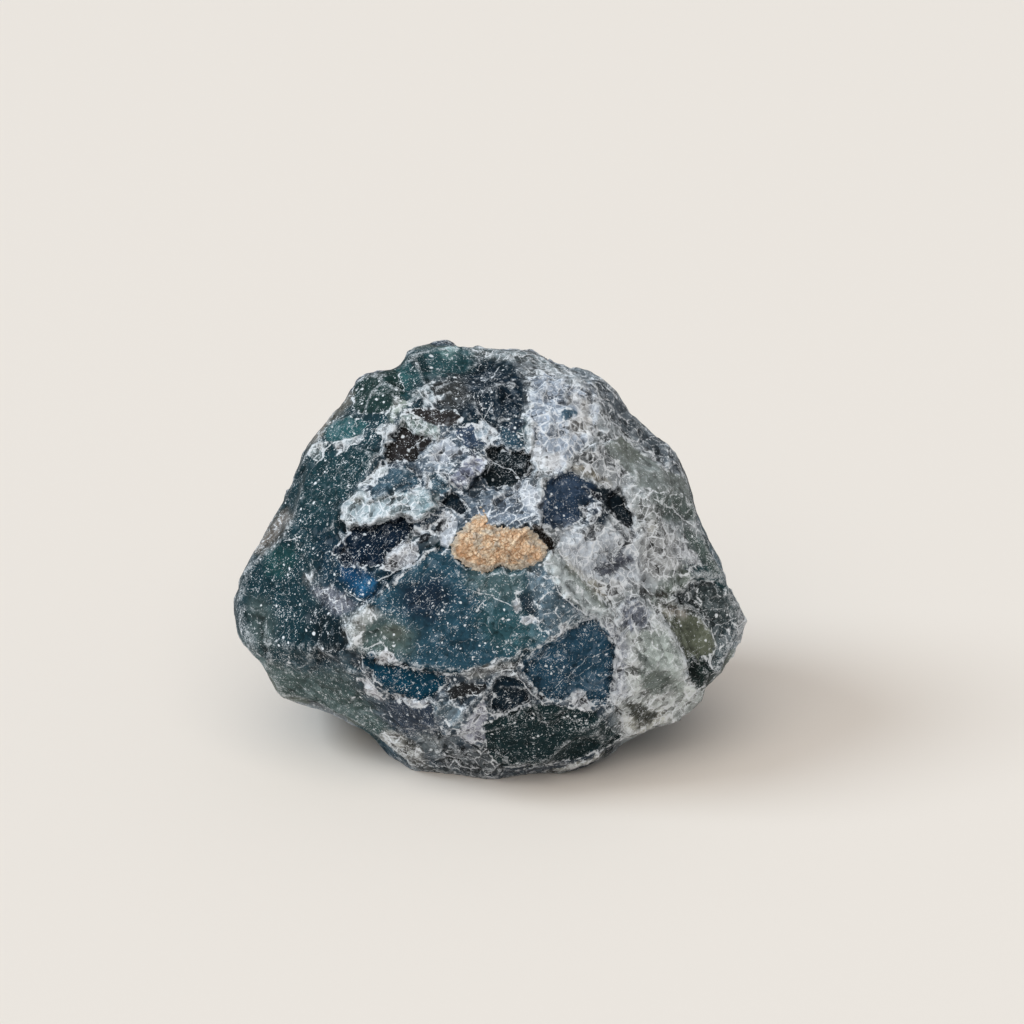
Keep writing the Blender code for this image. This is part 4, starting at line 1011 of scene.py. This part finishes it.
# the unevenness that all of it shares
drift = spot.noise(0.8, 3, 0.6, "Color").moved((0.5, 0.5, 0.5), "SUBTRACT")
firm, rough_spot, bent = bent_by(spot, drift, 0.3), bent_by(spot, drift, 0.6), bent_by(spot, drift, 0.65)
wide = spot.noise(3.4, 3)
patchy = spot.noise(0.8, 4, 0.6)
fine = spot.noise(0.22, 3, 0.65)
clump = (patchy - 0.5) * 0.45 + (wide - 0.5) * 0.3
field = frost + clump * 0.7
broken = (patchy - 0.38).most(0) * (fine + 0.1)

# the shards, and the white cracks along their borders, drawn mostly on shards that lean up as a painted
# highlight
big_tilt, big_lot = facets(firm, BIG)
mid_tilt, mid_lot = facets(bent, MIDDLING)
small_tilt, small_lot = facets(firm, SMALL)
big_line = cracks(firm, BIG, broken * 0.8 + 0.07) * field.above(0.10, 0.32)
big_line = big_line * (big_tilt.above(-0.3, 0.2) * 0.8 + 0.2)
mid_line = cracks(bent, MIDDLING, broken * 0.6 + 0.06) * field.above(0.22, 0.50)
mid_line = mid_line * mid_tilt.above(-0.3, 0.2) * 0.9
small_line = cracks(firm, SMALL, broken * 0.3 + 0.04) * field.above(0.42, 0.75)
small_line = small_line * small_tilt.above(-0.2, 0.3) * 0.7
kept = (patchy * 1.3 + (fine - 0.5) * 0.5 + frost * 0.9).above(0.82, 1.02)
lines = big_line.most(mid_line).most(small_line) * (kept * 0.9 + 0.1)

# hair cracks, the borders of patches, the veins and the worn edges
hair_noise = firm.noise(2.6, 1, 0.4)
hair = (hair_noise - 0.5).most(0.5 - hair_noise).below(0.001, 0.0055)
hair = hair * (patchy * 0.8 + fine * 0.5).above(0.6, 0.8)
lines = lines.most(hair * 0.8)
border = thin_line(spot.attribute("border"), spot.attribute("border_near"), broken + 0.03)
border = border * (wide * 0.6 + patchy).above(0.70, 0.86)
veins = thin_line(spot.attribute("vein"), spot.attribute("vein_near"), broken * 1.1)
wear = edge.above(0.3, 1.3) * (patchy * 0.6 + fine * 0.8 + frost * 0.2).above(0.62, 0.9)

# white dust, flecks and specks, and scratches that all slant one way
grains = (spot.noise(0.19, 1, 0.5) + clump).above(0.675, 0.715)
flecks = (spot.noise(0.36, 2, 0.6) + clump * 0.8).above(0.72, 0.76)
dust = (grains * 0.85).most(flecks)
dust = dust.most(specks_of(rough_spot, 0.40, 0.11, 0.12) * (clump + 0.6))
dust = dust.most(specks_of(rough_spot, 0.80, 0.18, 0.26))
dust = dust.most(specks_of(rough_spot, 1.7, 0.25, 0.24)) * (frost.above(0.005, 0.045) * 0.8 + 0.2)
slanted = spot.node("ShaderNodeMapping", {"vector_type": "TEXTURE"},
                    {"Vector": spot, "Rotation": (0, math.radians(-48), 0), "Scale": (2.0, 0.13, 0.13)})
scratch = slanted.noise(1.0, 2, 0.5).above(0.60, 0.72) * wide.above(0.40, 0.60) * 0.4

# how light each shard is: lighter with frost and by chance, and painted lighter or darker by its lean as
# shading, all of it laid over the patch's colour
frosted = frost.least(0.62) * 1.2 + (mid_lot - 0.5) * 0.6 + (big_lot - 0.5) * 0.5
frosted = (frosted + (small_lot - 0.5) * 0.25).above(0.44, 0.54)
# each shard's lean paints it lit on one side and shaded on the other; its own number gives it a random tone
lean_shade_and_tone = big_tilt * 0.4 + (big_lot - 0.5) * 0.45
lean_shade_and_tone = lean_shade_and_tone + mid_tilt * 0.4 + (mid_lot - 0.5) * 0.5
lean_shade_and_tone = lean_shade_and_tone + small_tilt * 0.3 + (small_lot - 0.5) * 0.4
tone_and_painted_shade = 0.82 + frost.least(0.5) * 0.22 + lean_shade_and_tone * (0.14 + frost * 0.72)
tone_and_painted_shade = tone_and_painted_shade + (patchy - 0.5) * (0.8 - frost * 0.8)
tone_and_painted_shade = tone_and_painted_shade + (wide - 0.5) * (0.8 - frost * 0.9)
tone_and_painted_shade = tone_and_painted_shade + (fine - 0.5) * (0.36 - frost * 0.3)
# where the surface lies below its surroundings it is darkened: painted shade in the hollows
tone_and_painted_shade = (tone_and_painted_shade + (frosted - 0.6) * frost * 0.6).most(0.2) * (1 + edge.least(0) * 0.35).most(0.45)
tone = body.node("ShaderNodeVectorMath", {"operation": "SCALE"}, {0: body, "Scale": tone_and_painted_shade})
tone = tone.towards(body.towards(pigment(FROSTED_SHARD), 0.5), frosted * (0.10 + big_lot * frost * 0.1))
tone = tone.towards(body.towards(pigment(CRACK_WHITE), 0.88), lines * 0.95)
bright = (border * 0.9).most(veins * 0.8).most(wear * 0.7).most(dust).most(scratch)
tone.towards(body.towards(pigment(DUST_WHITE), 0.87), bright * 0.92).into(shader, "Base Color")
(0.4 + frosted * 0.2 + fine * 0.2).into(shader, "Roughness")
shader.inputs["IOR"].default_value = FLUORITE_IOR
shader.inputs["Specular IOR Level"].default_value = FLUORITE_GLOSS
relief = (big_tilt + mid_tilt * 0.6 + small_tilt * 0.3) * (frost * 1.4 + 0.1) + fine * 0.12
spot.bump(relief, RELIEF_STRENGTH, RELIEF_HEIGHT).into(shader, "Normal")
stone.data.materials.append(material)

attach(stone, "root")
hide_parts("fluorite")


# The crust: a small patch of tan, iron-stained crystals of another mineral, sugary grains grown together in
# a shallow hollow of the wide face. It fills its hollow and stands a little proud of it.
CRUST_MIDDLE = (1.0, 1.7)
CRUST_LEVEL = 22.0               # about how far out it lies
CRUST_OUTLINE = [
    (7.9, 1.2), (7.7, 1.8), (7.0, 2.7), (6.0, 3.8), (5.2, 4.5), (3.4, 4.3), (2.0, 4.5), (0.9, 4.5),
    (0.1, 4.9), (-0.5, 6.0), (-0.9, 7.1), (-1.5, 7.3), (-2.0, 6.3), (-2.9, 5.4), (-3.9, 4.4),
    (-4.9, 3.2), (-5.6, 1.9), (-5.4, 0.9), (-4.4, 0.0), (-3.2, -0.9), (-1.8, -1.5), (-0.7, -1.8),
    (0.3, -1.4), (1.0, -0.7), (1.7, -0.8), (2.6, -1.3), (3.6, -1.4), (4.6, -1.2), (5.6, -0.7),
    (6.8, -0.2), (7.5, 0.5),
]
CRUST_WAVES = [(0.12, 23, 0), (0.10, 41, 1), (0.08, 67, 2)]   # how ragged its rim is
CRUST_TURNS, CRUST_RINGS = 320, 110
CRUST_RISE = 0.25                # above the face round its hollow
CRUST_SINK = 0.1                 # how far its rim lies under that face
CRUST_THICK = 0.3                # how far it goes on below the floor of its hollow
GRAIN, CRUMB, SWELL = 0.62, 0.29, 2.2   # the sizes of its grains, and of its low swells
JITTER_SEEDS, GRAIN_SEED, CRUMB_SEED, SWELL_SEED, FADE_SEED = (61, 62, 63), 64, 65, 66, 67
SETTLING_ROUNDS, SETTLING_SHARE = 10, 0.8   # how the face out at a point is closed in on


def face_out(across, up, ledges):
    """How far out the wide face lies at points across and up, found by walking the way to them."""
    out = np.full(across.shape, CRUST_LEVEL)
    for _ in range(SETTLING_ROUNDS):
        ways = np.stack((across, up, out), axis=1)
        length = np.linalg.norm(ways, axis=1, keepdims=True)
        out = out + (skin(ways / length, ledges)[:, 2] - out) * SETTLING_SHARE
    return out


def crust_grid():
    """Rings about the crust's middle as seen, and the middle last, each point with its share of the rim.

    At turn t and share s it is middle + s * rim(t) * (cos t, sin t), and s is sin a for even steps of a."""
    turn = np.linspace(-math.pi, math.pi, CRUST_TURNS, endpoint=False)
    share = np.sin(np.linspace(0, math.pi / 2, CRUST_RINGS + 1))[1:]
    rim = outline_reach(turn, CRUST_OUTLINE, CRUST_MIDDLE)
    for height, pace, start in CRUST_WAVES:
        rim = rim + height * np.sin(turn * pace + start)
    reach = rim[None, :] * share[:, None]
    seen_across = np.append((CRUST_MIDDLE[0] + reach * np.cos(turn)).ravel(), CRUST_MIDDLE[0])
    seen_up = np.append((CRUST_MIDDLE[1] + reach * np.sin(turn)).ravel(), CRUST_MIDDLE[1])
    return seen_across, seen_up, np.append(np.repeat(share, CRUST_TURNS), 0.0)


def crust_sides(across, up, height, share):
    """How far out the crust's top and its underside lie: the top is the face without the hollow, plus the
    height of its grains times a dome of sqrt(1 - share^8), and the underside is sunk in the hollow."""
    filled = {name: ledge for name, ledge in LEDGES.items() if name != "crust pit"}
    dome = np.maximum(1 - share**8, 0) ** 0.5
    top = face_out(across, up, filled) - CRUST_SINK + np.maximum(height, 0.02) * dome
    bottom = np.minimum(face_out(across, up, LEDGES), top - 0.1) - CRUST_THICK
    return top, bottom


def crust_faces():
    """Its closed skin: rings of quads above and below, joined at the rim, and a fan about each middle.

    The top's points come first, rings from the middle out and then its middle, and below the same
    without the rim."""
    turns, sides = CRUST_TURNS, CRUST_RINGS * CRUST_TURNS
    this = np.arange(turns)
    after = (this + 1) % turns
    ring = np.arange(CRUST_RINGS - 1)[:, None] * turns
    low = sides + 1
    low_ring = ring[:-1] + low
    last, last_low = sides - turns, low + sides - 2 * turns
    low_middle = low + sides - turns
    parts = [
        (ring + this, ring + this + turns, ring + after + turns, ring + after),
        (low_ring + this, low_ring + after, low_ring + after + turns, low_ring + this + turns),
        (last_low + this, last_low + after, last + after, last + this),
        (np.full(turns, sides), this, after),
        (np.full(turns, low_middle), low + after, low + this),
    ]
    return [face for part in parts for face in np.stack(part, axis=-1).reshape(-1, len(part)).tolist()]


seen_across, seen_up, share = crust_grid()
nearer = EYE[2] / (EYE[2] - CRUST_LEVEL)
across = EYE[0] + (seen_across - EYE[0]) / nearer
up = EYE[1] + (seen_up - EYE[1]) / nearer
flat = np.column_stack((across, up, np.zeros(len(across))))
jitter = np.column_stack([clouds(flat, 0.6, seed, 2) - 0.5 for seed in JITTER_SEEDS])
grain, grain_border, grain_lot, _ = shards(flat + 0.5 * jitter, GRAIN, 0.45, 0.25, GRAIN_SEED, 0.1)
crumb, _, crumb_lot, _ = shards(flat + 0.3 * jitter, CRUMB, 0.55, 0.3, CRUMB_SEED, 0.1)
swell = clouds(flat, SWELL, SWELL_SEED) - 0.4
height = CRUST_RISE + GRAIN * 0.7 * grain + CRUMB * 0.8 * crumb + 0.7 * swell
fade = share + 0.25 * (clouds(flat, 0.9, FADE_SEED) - 0.5) + 0.3 * step(-seen_up, -0.4, 1.4)
top, bottom = crust_sides(across, up, height, share)
top_points, low_points = np.column_stack((across, up, top)), np.column_stack((across, up, bottom))
crust_points = np.concatenate((top_points, low_points[:-1 - CRUST_TURNS], low_points[-1:]))
crust = mesh_of("crust_grains", placed(crust_points), crust_faces(), False)
hidden = np.zeros(len(crust_points) - len(top_points))
note(crust, "tone", np.append(0.5 * grain_lot + 0.5 * crumb_lot, hidden))
note(crust, "depth", np.append(step(grain_border, 0, 0.3), hidden))
note(crust, "fade", np.append(fade, hidden + 1))

# The crust's material: sandy grains from tan to cream, rusty in blotches, darker towards the gaps between
# them as painted shade, and greyer where it thins out over the stone.
TAN, CREAM, RUSTY, GREY = (190, 152, 118), (244, 224, 196), (226, 184, 144), (178, 176, 168)
DARK_SPECK, PALE_SPECK, GAP_SHADE = (116, 84, 56), (244, 234, 218), (110, 82, 58)
SUGAR_STRENGTH, SUGAR_HEIGHT = 0.4, 0.0001

material, shader, spot = start_material("crust")
tone, depth, fade = spot.attribute("tone"), spot.attribute("depth"), spot.attribute("fade")
blotch = spot.noise(1.8, 2)
sand = spot.noise(0.5, 3, 0.6)
speckle = spot.noise(0.2, 2, 0.7)
glassy = (blotch + (sand - 0.5) * 0.5).below(0.36, 0.46).most((fade + (sand - 0.5) * 0.5).above(0.84, 1.0))
pale = (tone * 0.7 + sand * 0.9 - 0.3).above(0.2, 0.8)
sandy = spot.node("ShaderNodeMix", {"data_type": "RGBA"}, {0: pale, 6: pigment(TAN), 7: pigment(CREAM)}, 2)
sandy = sandy.towards(pigment(RUSTY), (blotch + (sand - 0.5) * 0.6).above(0.54, 0.66) * 0.6)
sandy = sandy.towards(pigment(GREY), glassy * 0.7)
sandy = sandy.towards(pigment(DARK_SPECK), speckle.below(0.34, 0.42) * (0.7 - glassy * 0.4))
sandy = sandy.towards(pigment(PALE_SPECK), speckle.above(0.60, 0.67) * 0.65)
# towards each grain's border it turns to the gap colour: painted shade in the crevices between grains
sandy.towards(pigment(GAP_SHADE), (1 - depth) * 0.4).into(shader, "Base Color")
(0.7 + speckle * 0.2).into(shader, "Roughness")
spot.bump(speckle, SUGAR_STRENGTH, SUGAR_HEIGHT).into(shader, "Normal")
crust.data.materials.append(material)

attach(crust, "root")
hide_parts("crust")


# The floor: one plain pale sheet, matt, running back well past the picture.
FLOOR_SIZE = 12
FLOOR_COLOUR = (0.831, 0.766, 0.71, 1)
FLOOR_ROUGHNESS = 0.9

bpy.ops.mesh.primitive_plane_add(size=FLOOR_SIZE)
floor = bpy.context.object
floor.name = "floor"
material, shader, _ = start_material("pale floor")
shader.inputs["Base Color"].default_value = FLOOR_COLOUR
shader.inputs["Roughness"].default_value = FLOOR_ROUGHNESS
floor.data.materials.append(material)


# The light: a broad soft lamp high over the camera, a narrower one high at the left whose shadow falls to the
# right, and an even pale sky that fills the shadows. Each lamp: its strength, colour, spread and side.
SKY_COLOUR, SKY_STRENGTH = (0.94, 0.97, 1.0, 1), 0.34
LAMPS = {
    "left lamp": (1.45, (0.84, 0.97, 1.06), 26, (-0.72, -0.12, 0.68)),
    "front lamp": (1.62, (1.0, 0.95, 0.87), 65, (-0.10, -0.57, 0.81)),
}

world = bpy.data.worlds.new("sky")
bpy.context.scene.world = world
world.use_nodes = True
world.node_tree.nodes["Background"].inputs["Color"].default_value = SKY_COLOUR
world.node_tree.nodes["Background"].inputs["Strength"].default_value = SKY_STRENGTH
for name, (strength, colour, spread, side) in LAMPS.items():
    lamp_data = bpy.data.lights.new(name, "SUN")
    lamp_data.energy = strength
    lamp_data.color = colour
    lamp_data.angle = math.radians(spread)
    lamp = bpy.data.objects.new(name, lamp_data)
    lamp.rotation_euler = Vector(side).to_track_quat("Z", "Y").to_euler()
    bpy.context.scene.collection.objects.link(lamp)


# The camera: a long lens, a little above the stone and looking square at its widest face.
LENS, SENSOR = 120, 36
NEAREST_SEEN = 0.01

camera_data = bpy.data.cameras.new("camera")
camera_data.lens = LENS
camera_data.sensor_width = SENSOR
camera_data.clip_start = NEAREST_SEEN
camera = bpy.data.objects.new("camera", camera_data)
camera.location = placed(np.array([EYE]))[0]
camera.rotation_euler = (math.pi / 2 - LEAN, 0, 0)
bpy.context.scene.collection.objects.link(camera)
bpy.context.scene.camera = camera
bpy.context.scene.view_settings.view_transform = "Standard"
